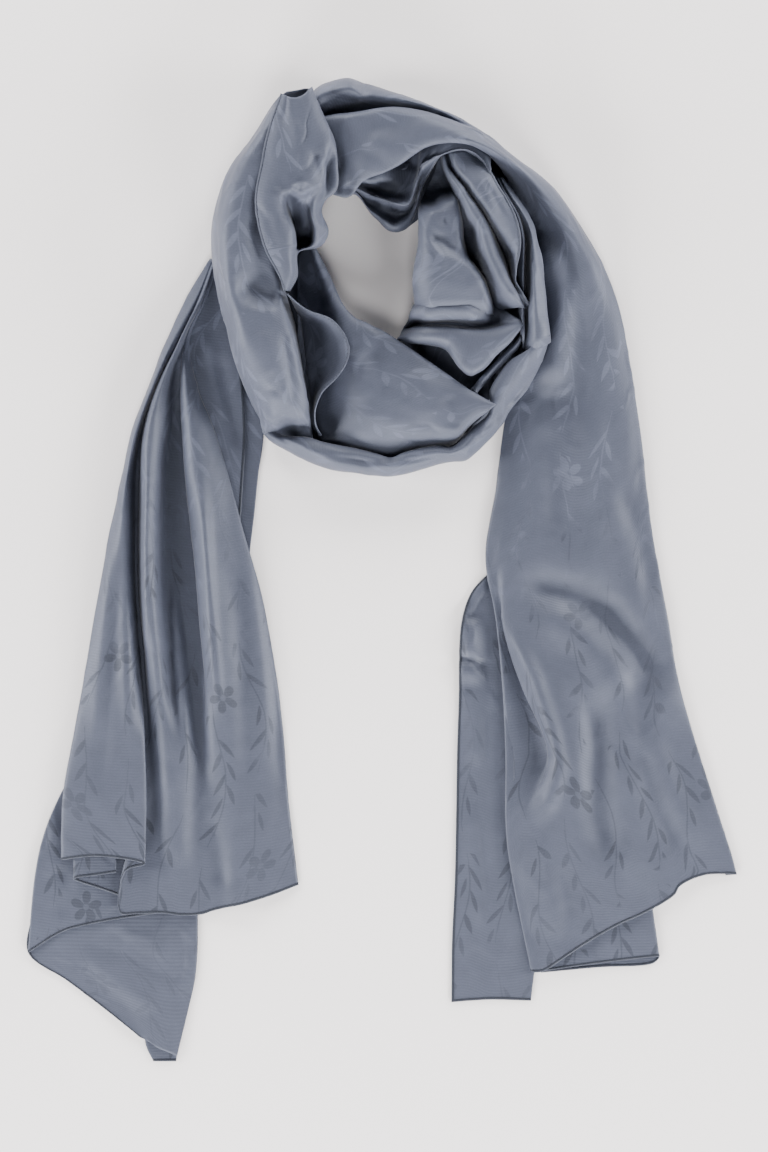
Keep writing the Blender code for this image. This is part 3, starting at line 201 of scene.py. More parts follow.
STRETCHES["left_tail_under"] = level(-128, -150, -175, -200, -220), (
    Fold("outline", (-200, -211.8, -221.3, -226.2, -230.5), (0.6, 0.6, 1.2, 2.1, 2.1), 28),
    Fold("left middle", (-190, -198, -204, -206, -208), (0.6, 0.6, 1.2, 2.1, 2.1), 14.3),
    Fold("middle", (-178, -183, -186, -188, -190), (0.6, 0.6, 1.2, 2.1, 2.1), 9.4),
    Fold("right middle", (-168, -170, -171, -170, -168.7), (0.6, 0.6, 1.2, 2.1, 2.1), 5.6),
    Fold("hidden end", (-160, -158, -154, -150, -146), (0.6, 0.6, 1.2, 2.1, 2.1), 2.2),
)

STRETCHES["left_tail_corner"] = level(-207, -225, -248, -266, -284, -300), (
    Fold("turned edge", (-222, -228, -230.2, -205, -181, -158), (0.6, 0.6, 0.6, 0.6, 1.2, 2.4), 2.3),
    Fold("left middle", (-195, -199, -203, -183, -168, -151), (0.6, 0.6, 0.6, 0.6, 1.2, 2.4), 6),
    Fold("ridge", (-168, -169, -172, -160, -153, -146), (0.6, 0.6, 1.4, 2.4, 2.6, 2.8), 9.5),
    Fold("fold", (-143, -143, -142, -140, -138, -139), (0.6, 0.6, 1, 1.4, 2.2, 2.8), 12.5),
    Fold("right edge", (-120, -119.9, -120.2, -122, -126, -133.5), (0.6, 0.6, 0.6, 0.6, 1.2, 2.4), 15),
)

STRETCHES["left_tail_tip"] = level(-299, -309, -318), (
    Fold("left", (-155.4, -153.4, -148.9), 0.6, 0.4),
    Fold("middle", (-146, -143, -141.5), 0.6, 0.4),
    Fold("right", (-138, -133.5, -134), 0.6, 0.4),
)

# ---------------------------------------------------------------- ring, left side
# Its foot runs on further than its solid's, under the front roll's lip.
STRETCHES["left_band"] = level(
    309.5, 303.6, 296, 281, 262, 245, 225, 205, 185, 160, 146, 135, 127, 112, 100, 94.5, 90.8, 84.5
), (
    Fold("foot", (-65, -68.2, -72, -81.2, -94.6, -102, -106.2, -105.9, -102.6, -96.8, -94.5, -92.5, -90.2,
        -84.1, -78.4, -76.5, -75.4, -72.6), (8, 4, 3, 2, 2, 2, 3, 6, 7, *[8] * 7, 7, 4), -1, -1),
    Fold("outline", (-66, -70.2, -75, -84.2, -98.6, -106, -110.8, -110.5, -107.2, -101.4, -98.5, -95.5,
        -92.6, -86.1, -79.6, -77.7, -76.4, -73.4), (13, 10, 11, *[12] * 5, 13, 14, 14, 14, 14, 13, 12, 10,
        9, 5), -1, -1),
    Fold("side", (-64.8, -68.8, -73.2, -82, -96, -102.6, -107, -106.7, -103.4, -97.8, -95.3, -92.9, -90.4,
        -84.5, -78.6, -77, -75.8, -72.8), (22, 15, 26, 30, 31, *[32] * 5, 31, 28, 26, 22, 17, 12, 9.6, 5.5),
        -0.6, -0.6),
    Fold("shoulder", (-62, -66, -71, -78, -89.6, -97, -101, -101, -98, -92, -88.6, -85, -81.6, -74.6, -70.4,
        -69.4, -69, -66.6), (27, 16, 28, 37, 40, 41, 42, 42, 42, 42, 41, 39, 38, 34, 27, 19, 11.5, 7), 0,
        0.4),
    Fold("crown", (-58, -62, -66.4, -71.4, -79.6, -86.6, -90, -88.6, -85.6, -80, -76, -73, -70.6, -66,
        -62.6, -61.4, -61, -60), (28, 15, 28, 37, 41, 42, 43, 43, 38, 42, 43, 42.4, 41.4, 37, 27, 14, 7.5,
        5), 0.5, 1),
    Fold("inner crown", (-54, -57.6, -62, -66.4, -73.4, -79.4, -81.4, -77.4, -74.6, -69.6, -65, -62.2,
        -60.2, -56.6, -54, -53.4, -53.6, -53), (28, 15, 28, 36, 40, 40, 40, 40, 37, 41, 41.4, 40.4, 39.4,
        35, 27, 15, 8.5, 6), 0.6, 1.6),
    Fold("inner edge", (-50, -53.6, -58, -62, -68, -73, -73.6, -69.2, -67.4, -60.8, -57.2, -54.6, -53, -50,
        -47.8, -46.6, -46.2, -45.4), (27, 15, 27, 35, 38, 38, 37, 36, 35, 37, 36, 34.6, 33, 28, 22, 16, 12,
        8), 0.6, 2.4),
    Fold("valley side", (-48.4, -52.2, -57, -61, -67, -71.4, -71.2, -66.2, -65, -58.8, -55.6, -53.2, -51.8,
        -49.2, -47.2, -46.2, -45.8, -45), (26, 15, 26, 34, 36.4, 36, 33, 30, 27, 26, 25, 24, 23, 20, 16, 12,
        9.4, 7), 0.6, 2.4),
    Fold("valley", (-47.4, -51.2, -56, -60, -66, -70, -69, -64, -63.4, -56.6, -54.2, -52.2, -50.8, -48.8,
        -47, -46, -45.6, -44.8), (25, 15, 25, 33, 35, 34, 29, 24, 18, 11, 8, *[7] * 5, 7.4, 6), 0.6, 2.4),
)

STRETCHES["cuff"] = level(305.4, 291, 277, 262, 247, 239.4, 232, 220, 211, 206, 191, 181), (
    Fold("foot", (-48.4, -40.6, -34.8, -33.5, -33.5, -40.6, -43.2, -40, -43.2, -56, -56.2, -60),
        (34, 34, 33, 33, 33, 25, 23, 22, 20, 20, 20, 24), 0, 4.6),
    Fold("inner side", (-46.5, -38, -32.2, -30.5, -30.9, -38.7, -40.6, -36.3, -40.6, -54.9, -55.3, -59.7),
        (35, 35.6, 34, 34, 34, 27, 25, 24, 22.6, 22, 22, 27), 0, 6),
    Fold("inner edge", (-45.4, -37, -31.1, -29.6, -30.1, -37.6, -39.5, -35.3, -39.5, -54.1, -54.5, -59.5),
        (37.6, 38.4, 37, 36.5, 36, 32, 30, 28, 26, 26, 26, 30), 0, 7.4),
    Fold("tuck", (-47.1, -38.9, -33.5, -35.2, -35.8, -39.7, -41.4, -37.8, -41.7, -54.1, -54.6, -59.5),
        (40, 41, 41, 36, 35.4, 34, 33, 31.6, 29, 30, 30.4, 32), 0, 6),
    Fold("tuck flank", (-49.2, -42.2, -37.1, -38.3, -39.7, -43.5, -44.8, -42.3, -45.2, -54.3, -54.8, -59.7),
        (41.4, 43, 43.4, 42.6, 41, 39, 37.4, 35, 31, 32, 32, 33.6), 0, 3.4),
    Fold("cavity right", (-51.7, -46.5, -43.2, -44.5, -49.7, -51.3, -49.5, -47.8, -48.4, -54.8, -55.2,
        -59.9), (42.2, 44.2, 45, 45.2, 44.4, 31, 21, 16, 16, 33.6, 33, 34.6), 0, 1.4),
    Fold("cavity", (-53.6, -49.7, -48.4, -51, -55.6, -59.7, -58.4, -54.9, -53.9, -55.3, -55.6, -60.2),
        (42.6, 44.8, 45.8, 46.6, 45.4, 33, 22, 15, 14, 35.8, 34.4, 35.6), 0, 0.6),
    Fold("ridge", (-55.6, -53.6, -53, -55.2, -61.4, -64.3, -62.5, -57.9, -56.6, -56.5, -56.5, -61),
        (42.6, 45, 46, 46.6, 47, 45, 44, 43, 42, 40, 38, 36.6)),
    Fold("ridge top", (-59.5, -59.5, -60.1, -63.4, -67.5, -69, -67.5, -64, -61.7, -60.4, -59.1, -61.8),
        (42.6, 45, 46, 47, 48, 48, 48, 47, 46, 45, 42, 38), 0, 0.3),
    Fold("crown", (-63, -65.1, -68.2, -71.6, -74.8, -75.1, -74.2, -71.8, -69.5, -67.5, -63.1, -62.7),
        (41, 43, 45, 46, 47, 47.6, 47.6, 47, 46, 45, 42.6, 38.6), 0, 1.8),
    Fold("hem", (-65.6, -72.1, -76.1, -78.7, -81.7, -82.4, -82, -79.6, -77, -75.3, -67.4, -63.8),
        (38, 39.4, 41.4, 42.4, 43, 43.4, 43.4, 43, 42.4, 42, 40.4, 39), 0, 3),
)

# Rulers from the foot of the standing edge, in the valley, to its hem.
STRETCHES["inner_margin"] = (
    (-60.1, 176.9, -61.4, 179.2), (-56.5, 170, -54.3, 172.6), (-52.7, 163.5, -47.1, 168),
    (-51.8, 157, -34.1, 163.5), (-51, 150.5, -27.6, 157.6), (-50.4, 144, -23.1, 150.5),
    (-49.7, 136.8, -21.1, 142.7), (-48.9, 129.7, -23.1, 134.2), (-48, 121.9, -27.9, 126.4),
    (-47.1, 114.1, -37.4, 116.7), (-46, 106.9, -41.9, 109.5), (-44.8, 100.4, -43.7, 102.6),
    (-43.4, 93.7, -42.8, 94.6), (-40.9, 87.8, -39.3, 88.1),
), (
    Fold("foot", 0, (22, 13, 10, *[9] * 11)),
    Fold("wall", (*[0.1] * 8, 0.2, 0.2, 0.3, 0.4, 0.5, 0.5),
        (26, 17, 12.4, 11.4, 11, 11, 11, 11, 11.4, 12, 12, 11, 11, 10)),
    Fold("slope", 0.5, (32, 25, 21, 19, 18, 18, 18, 18, 18.6, 19, 18, 15, 13, 11)),
    Fold("lip", 0.85, (36, 33, 31.6, 30, 29, 28.6, 28.6, 28.6, 28.6, 27.6, 25, 21, 17, 12.6)),
    Fold("hem", 1, (38, 36, 35.4, 34.6, 34.4, 34, 33.6, 33, 32, 30, 27.4, 23.6, 19, 14)),
)

# ---------------------------------------------------------------- ring, front
# Rulers from the inner edge of the stretch to the crease under the roll.
STRETCHES["front_band"] = (
    (-45.8, 213.1, -53.6, 207), (-40.2, 202.5, -53.9, 201.2), (-33.5, 189, -54.7, 188.2),
    (-25.4, 171.5, -54.3, 164.8), (-19.8, 164.8, -51.7, 121.9), (-9.4, 160, -36.7, 85.2),
    (1, 155, -15, 80.7), (11.4, 148.5, 4.9, 75.7), (25.7, 138.4, 17.9, 79.2), (38.4, 129.3, 32.8, 81.3),
    (53.6, 119.3, 46.5, 83.5), (64, 113, 57.5, 95), (73.1, 107.8, 67.3, 102.4),
), (
    Fold("foot", (0.2, 0.2, 0.1, 0.1, 0.1, 0), (*[3] * 8, 9, 13, 18, 21, 23.4)),
    Fold("side", (0.1, 0, 0, 0), (8, 11, *[12] * 6, 14, 16.4, 20, 22, 24)),
    Fold("inner edge", 0, (12, 15, 16, 17, 18, 19, 19, 19, 20, 21.6, 22.8, 23.6, 24.6)),
    Fold("crown", (0.2, 0.2, 0.1), (14.6, 18, 18, 18, 21, 23.4, 24, 24, 24.6, 25, 25.4, 25.8, 26)),
    Fold("middle", (0.5, 0.4, 0.4), (12, 12, 10, 9, 13, 23, 26, 26, 26.4, 26.6, 26.8, 26.6, 26)),
    Fold("slope", (0.8, 0.7, 0.7), (8, 7, 6, 5, 7, 14, 24, 24.6, 25, 26, 26, 25.4, 25.6)),
    Fold("crease side", 0.93, (6, 5, 4.4, 4.2, 4.6, 9, 17, 15, 17, 18.4, 19.6, 22, 24.6)),
    Fold("crease", 1.04, (5, 4.4, 4, 4, 4, 6.6, 8.5, 8.5, 8.5, 8.5, 10, 18, 23.6)),
)

# Rulers from the roll's lip to its outline. Its lower edge hangs lower than its solid's, and its end
# runs on under the left band.
STRETCHES["front_roll"] = (
    (108, 152.8, 108.5, 151.5), (99.1, 146.8, 105.6, 142), (90.7, 140.9, 100.8, 131),
    (82.6, 135.8, 92, 116), (75.1, 126.7, 82.9, 104.3), (69.2, 116.7, 77.7, 95.9),
    (69.9, 106.5, 72.5, 89.4), (67.3, 100.7, 66.4, 83.5), (58.6, 92.9, 59.9, 77.3),
    (51.7, 85.2, 53.6, 72.5), (45.6, 80.5, 45.2, 71.8), (36.1, 81.1, 37.4, 70.5), (24.4, 79.4, 25.1, 66.8),
    (13.3, 77, 13.3, 63.2), (5.5, 74.2, 3.7, 61.6), (-2.9, 76.4, -6.2, 62.1), (-14.6, 79.2, -18.8, 63.7),
    (-27.6, 81.4, -32, 65.6), (-38.7, 83.5, -46.3, 70.8), (-49.7, 86.8, -57.6, 76.6),
    (-58.8, 87.4, -68.8, 82.6), (-65.7, 88.7, -75.2, 87.2), (-69.5, 94.5, -77.2, 92.5),
), (
    Fold("lip tuck", (0.5, 0.4, 0.3, 0.2, 0.2, 0.2, 0.2, *[0.3] * 16),
        (19, 16, 14, 13, 13, 13, 12.6, 12.6, *[12.4] * 12, 10, 8, 6)),
    Fold("lip", 0,
        (25, 25, 24.6, 23.4, 21, 19, 18, 18, 17, 16, 15.6, 15.6, 15.8, *[16] * 5, 16.4, 16, 13, 11, 7)),
    Fold("lip crown", 0.14, (25.8, 25.8, 25.2, 24.4, 23, 21, 20, 20, 19.6, 19.2, 19.2, 19, 19, 19, 18.6, 19,
        19, 19, 19.6, 19, 16, 13, 8)),
    Fold("crown", 0.4, (25.6, 24.8, 24, 23.4, 22.8, 22, 21.4, 21.4, 21.6, 22, 22, 22, 21.6, 21.4, 21.2,
        21.2, 21.6, 22, 22.4, 22, 18, 14, 8.6)),
    Fold("side", 0.8, (24, 21.4, 19, 18, 17.5, 17.5, 17.5, 17.4, 17, 16.8, 16.4, 16.4, *[16] * 5, 16.4, 17,
        17, 15, 12, 8)),
    Fold("outline", 1, (21, 16.4, 13.4, 12.8, 12.6, 12.4, 12, 11, 10, 9.4, 9, 8.4, *[8] * 7, 8.4, 8, 8, 6)),
    Fold("foot", 0.84, (17, 12.4, 10.4, 9.8, 9.4, 8.6, 7.6, 5, 3, 1.6, 1, *[0.6] * 9, 0.8, 2, 2)),
)

# ---------------------------------------------------------------- ring, right side
STRETCHES["right_gathers"] = level(
    266.2, 261, 255.1, 248, 239.5, 231.1, 222, 212.9, 203.8, 195.3, 187.5, 179.7
), (
    Fold("foot", (37.4, 36.7, 34.8, 31.5, 28.9, 27.6, 27.6, 27, 25.7, 24.4, 24.4, 25),
        (10, 8, 6, *[3] * 9)),
    Fold("inner side", (36.5, 35, 32.8, 29.3, 26.6, 24.8, 24.5, 24.2, 22.8, 21.4, 21.1, 21.8),
        (12, 10, 9, 7, 12, *[18] * 6, 16)),
    Fold("left edge", (36.1, 34.5, 32.2, 28.5, 25.7, 23.9, 23.6, 23.5, 22, 20.6, 20.3, 21.1),
        (13, 11, 10, 8, 15, 26, 28, 28, 28, 28, 27, 24), 2, 1),
    Fold("left crown", (36.7, 36.1, 35, 33.5, 34.1, 30.2, 28.7, 28.9, 30.2, 30.9, 30.9, 31.5),
        (13.6, 11.6, 10.6, 9, 20, 32, 34.6, 36, 37, 37.6, 37, 34), 3, 1.5),
    Fold("left ridge", (37.2, 37.4, 37.6, 39.3, 42.6, 41.3, 38, 39.3, 43.2, 49.1, 53, 55.6),
        (14.4, 12.4, 11.4, 9.6, 29, 34, 34, 34.6, 36.6, 37, 36.4, 33), 3, 2),
    Fold("valley lip", (37.6, 38.4, 39.8, 43.6, 47.4, 48.7, 49.1, 49.7, 53, 59.7, 64, 67.3),
        (16, 14, 12.6, 12, 31, 32.6, 32.6, 32.6, 33, 33, 33, 30), 3, 2.2),
    Fold("valley", (38, 39.1, 40.9, 45, 48.4, 50.1, 52.3, 53.6, 57.1, 63.1, 67.3, 70.3),
        (19, 17, 16, 16, 20, 17, 11.4, 10.4, 10.2, 10.8, 12.6, 14), 1.5, 2.4),
    Fold("pleat flank", (38.5, 40, 42.3, 46.5, 50.5, 53.4, 57.3, 58.4, 61.7, 66, 69.9, 73.8),
        (24, 25, 25, 27, 29, 28, 22, 19, 20, 22.6, 24, 25), 0, 2.8),
    Fold("pleat crest", (39.2, 41.7, 44.3, 49.3, 54.3, 58.8, 63.8, 66.2, 68.8, 72.7, 76.6, 82.2),
        (27, 30, 33, 36, 38, 38.4, 38.4, 38, 37.4, 36.4, 35.4, 34.4), 0, 3),
    Fold("crease lip", (39.8, 42.6, 46.1, 51.9, 57.3, 63.6, 68.8, 71.8, 75.1, 78.6, 82, 86.5),
        (27.6, 30, 32.4, 35, 36, 36, 35.4, 35, 34.4, 34, 33.4, 32.8), 0, 3.6),
    Fold("crease", (40.6, 43.6, 47.3, 53.2, 58.7, 65.1, 70.5, 75.1, 79.8, 82.1, 84, 88.1),
        (25, 26, 27, 28, 26, 24, 21, 17, 14, 15, 22, 29), 0, 4.4),
    Fold("edge flank", (45.2, 48.4, 52.6, 58.6, 63.6, 69.5, 75.1, 79.6, 83.5, 84.2, 84.8, 89.1),
        (31, 33, 35.4, 37.4, 38, 37.4, 36.4, 34, 29, 27, 28, 29.6), 0, 5.4),
    Fold("edge crown", (54.3, 57.5, 61.8, 67.9, 72.7, 78.6, 83.5, 86.5, 86.8, 86, 85.4, 89.9),
        (31.4, 34.6, 37.6, 40, 41, 41, 40, 38.4, 35.6, 33, 30.6, 30), 0, 6),
    Fold("hem", (65.3, 68.8, 72.1, 76.1, 81.1, 85.3, 88.2, 89.5, 88.5, 86.8, 85.9, 90.5),
        (30, 33, 36.4, 39, 40, 40, 39.4, 38.4, 37, 35, 32.4, 30.4), 0, 1.2),
)

STRETCHES["outer_strip"] = level(
    254.5, 246.7, 238.9, 231.1, 222, 212.9, 203.8, 192.7, 179.7, 166.7, 156.3
), (
    Fold("hidden edge", (72.5, 75.7, 79.6, 83.5, 85.7, 87.2, 87, 87, 88.5, 89.1, 89.4),
        (22, 24, 25, 25, 24, 22, 20, 19, 18, 18, 20)),
    Fold("left flank", (73.1, 76.8, 80.9, 85.1, 87.7, 89.1, 89, 88.7, 89.9, 90, 90.4),
        (24, 26, 27.4, 28, 27.4, 26, 25, 24, 22, 22, 24), 0.4),
    Fold("left crown", (74.2, 77.9, 82.4, 86.8, 89.8, 91.2, 91.1, 90.8, 91.1, 90.9, 91.1),
        (25, 27.4, 29.6, 31, 30.6, 30, 30, 29.6, 26, 25, 26), 0.8),
    Fold("dark line", (75.1, 79.1, 83.5, 88.1, 91.6, 93, 92.6, 92.9, 92.9, 92.4, 92),
        (24, 26, 27.6, 27.6, 25, 18, 17, 18, 18, 18, 20), 9),
    Fold("right crown", (76.4, 80.9, 85.9, 90.8, 95.1, 96.8, 97.4, 97.8, 98.6, 99.1, 100),
        (25, 27, 29.4, 31.4, 32, 32, 32, 32, 31.4, 31, 29.6), 5.6),
    Fold("outline", (77.9, 82.9, 88.2, 93.4, 97.8, 100.3, 102.1, 103.4, 104.8, 106, 108),
        (21, 22, 23, 24, 24.6, 25, 25, 25, 24.6, 24.4, 24.6), 1),
    Fold("foot", (76.1, 80.7, 85.6, 90.7, 95, 97.2, 98.9, 100.2, 101.6, 103, 106),
        (16, 16, 15, 14, 12, 10, 9, 9, 10, 13, 17), 1),
)

# Upright rulers over y = 100, from the hole's side to the corner of the ring.
STRETCHES["gathers_front"] = upright(100, 12.7, 20.5, 30.9, 40.6, 49.1, 56.9, 64.7, 73.1, 80.9, 88.1), (
    Fold("hidden top", (63.5, 70, 79.1, 80.4, 81, 81.7, 82.3, 75.2, 68, 62.8),
        (6, 12, 20, 22, 22, 21, 14, 10, 17, 22.6), 0, -5),
    Fold("upper crease", (62.8, 72.6, 76.7, 77.4, 77.9, 78.7, 79.1, 73.9, 67.4, 62.6),
        (7, 14, 22, 23.4, 24, 23, 16, 11, 18, 23.6), 0, -4.5),
    Fold("roll crown", (60.9, 68.7, 70.6, 71, 71.3, 71.5, 71.3, 68.7, 65.4, 62.2),
        (8, 24, 30, 31, 31.4, 31, 27, 15, 19, 24.4), 0, -3.5),
    Fold("roll flank", (58.9, 64.5, 64.1, 64.1, 63.9, 63.5, 63.1, 63.9, 63.2, 61.7),
        (7, 20, 27.4, 28.4, 28.6, 28, 25, 15.4, 19.6, 24.6), 0, -1.5),
    Fold("lower crease", (56.3, 60.2, 60.5, 60.6, 60, 59.2, 58.9, 60, 60.9, 60.9),
        (6, 8, 15, 17.4, 18, 18, 17, 17, 21, 25)),
    Fold("triangle top", (52.2, 56.3, 57.4, 57.6, 56.7, 55.7, 55.4, 57, 58, 59.6),
        (13, 19, 24, 26, 27, 27.4, 27, 26, 26.4, 26.4), 0, 2),
    Fold("triangle crown", (50.9, 52.7, 52.4, 51.1, 45.9, 42, 44, 49.8, 53.5, 58),
        (14, 21, 26, 28, 29.6, 30, 30, 29.4, 28.6, 27.4), 0, 3.5),
    Fold("triangle edge", (49.8, 48.5, 47.4, 44.6, 33.6, 28.4, 32, 41.1, 48.3, 56.3),
        (13, 18, 21, 23, 26.4, 27, 27, 27, 27, 26.8), 0, 3),
    Fold("triangle side", (49.6, 48, 46.7, 43.6, 32.9, 27.7, 31.4, 40.5, 47.6, 55.8),
        (11, 12, 12.6, 13, 14, 14.4, 15, 16.4, 19.6, 23.6), 0, 3),
    Fold("hidden foot", (50.7, 50.1, 49.8, 47.9, 39.4, 36.2, 37.5, 43.3, 49.2, 56.3),
        (9, *[8] * 5, 8.6, 10, 17, 22.4), 0, 3),
)

# Rulers from the strip's left edge to its right one.
STRETCHES["gathers_strip"] = (
    (89, 153.1, 90.2, 149.8), (86.8, 149.6, 88.5, 145.4), (80.9, 143.7, 82.2, 138.1),
    (71.2, 133.8, 74.2, 129.9), (63.4, 125.1, 66, 121.2), (57.3, 117.7, 61, 115),
), (
    Fold("left foot", 0.1, (20, 16, 15, 15, 15, 15)),
    Fold("left edge", 0, (22, 21, 20, 19, 18, 17)),
    Fold("crown", 0.4, (24, 24, 23, 22, 21, 19)),
    Fold("right edge", 0.96, (22, 21, 20, 19, 18, 17)),
    Fold("right foot", 0.9, (19, 16, 15, 15, 15, 15)),
)

# Upright rulers over y = 200: the bunch under the nape stretch. Its edge runs on further than its
# solid's, as the strip above the gathers.
STRETCHES["nape_bunch"] = upright(
    200, -25, -17.2, -9.4, -2.9, 3.6, 10.1, 16.6, 21.8, 25, 31, 38, 46, 54, 61, 66.4, 70
), (
    Fold("foot", (49.3, 48, 38.2, 33, 28.5, 25.9, 29.8, 38, 49, 60, 69, 71.8, 72.2, 69, 63.8, 56),
        (*[3] * 9, 6, 26, 28, 28, 28, 29, 29)),
    Fold("inner side", (45.4, 45.1, 34.3, 28.2, 22.6, 21.6, 24.6, 34, 47.5, 59, 69, 71.8, 72.2, 69, 63.8,
        56), (*[9] * 9, 12, 28, *[30] * 5)),
    Fold("inner edge", (44.5, 44.3, 33.4, 27.2, 21.3, 20.4, 23.5, 33, 46.5, 58.5, 68.9, 71.7, 72.1, 68.9,
        63.7, 55.9), (*[15] * 7, 16, 17, 18, 30, *[31] * 5)),
    Fold("fold 1 crown", (45.8, 45.4, 35.6, 30.4, 25.9, 24.6, 27.8, 37, 48.5, 59, 68.8, 71.6, 72, 68.8,
        63.6, 55.8), (18, 18, 19, *[20] * 5, 21, 22, 31, 32, 32, 31.6, 31.6, 31.6)),
    Fold("fold 1 valley", (46.7, 46.2, 38.9, 35.6, 32, 30.4, 32.4, 41, 51, 60.4, 68.8, 71.6, 72, 68.8, 63.6,
        55.8), (17, 16, 14.4, 14, 13, 13, 13, 16, 20, 23, 31.8, 32.8, 32.8, 32.2, 32.4, 32.4)),
    Fold("hem side", (47.6, 46.9, 42.1, 40.2, 37.8, 35.9, 36, 46.4, 56, 63, 68.9, 71.7, 72.1, 68.9, 63.7,
        55.9), (19, 19, 18, 18, 18, 18, 19, 23, 26, 27, 32.6, 33.4, 33.4, 33, 33.2, 33.2)),
    Fold("hem", (48.9, 48, 44.2, 41.4, 39.2, 37.4, 37.6, 50, 60.6, 65.6, 69.2, 72, 72.4, 69.2, 64, 56.2),
        (21, 22, 24, 25, 26, 26.6, 27, 28.6, 30.4, 31.2, 33.4, 34, 34, 33.8, 34.2, 34.6)),
    Fold("hem valley", (51.9, 50.6, 48, 46.3, 44.7, 44.1, 46, 55.6, 63.8, 68.2, 71.4, 74.2, 74.6, 71.8, 67,
        60), (20, 18, 14, 15, 18, 20.4, 21, 24, 28, 30, 33.6, 34.2, 34.2, 34, 34.2, 34.4)),
    Fold("upper fold", (55.8, 54.5, 52.8, 52.9, 53.8, 55.8, 58.4, 62.6, 68.2, 72.2, 76, 78.6, 79, 76.4, 72,
        66), (22, 23, 24, 24, 22, 20, 19, 21, 27, 30, 33, 33.4, 33.4, 32.6, 32, 31)),
    Fold("hidden end", (62.3, 62.3, 62.3, 63.6, 65.5, 66.8, 68.8, 70.7, 73.4, 78, 83, 86, 86, 84, 80, 75),
        (20, 20, 21, 22, 21, 17, 16, 19, 24, 27, 30.4, 30.6, 30.4, 29, 27, 25)),
)

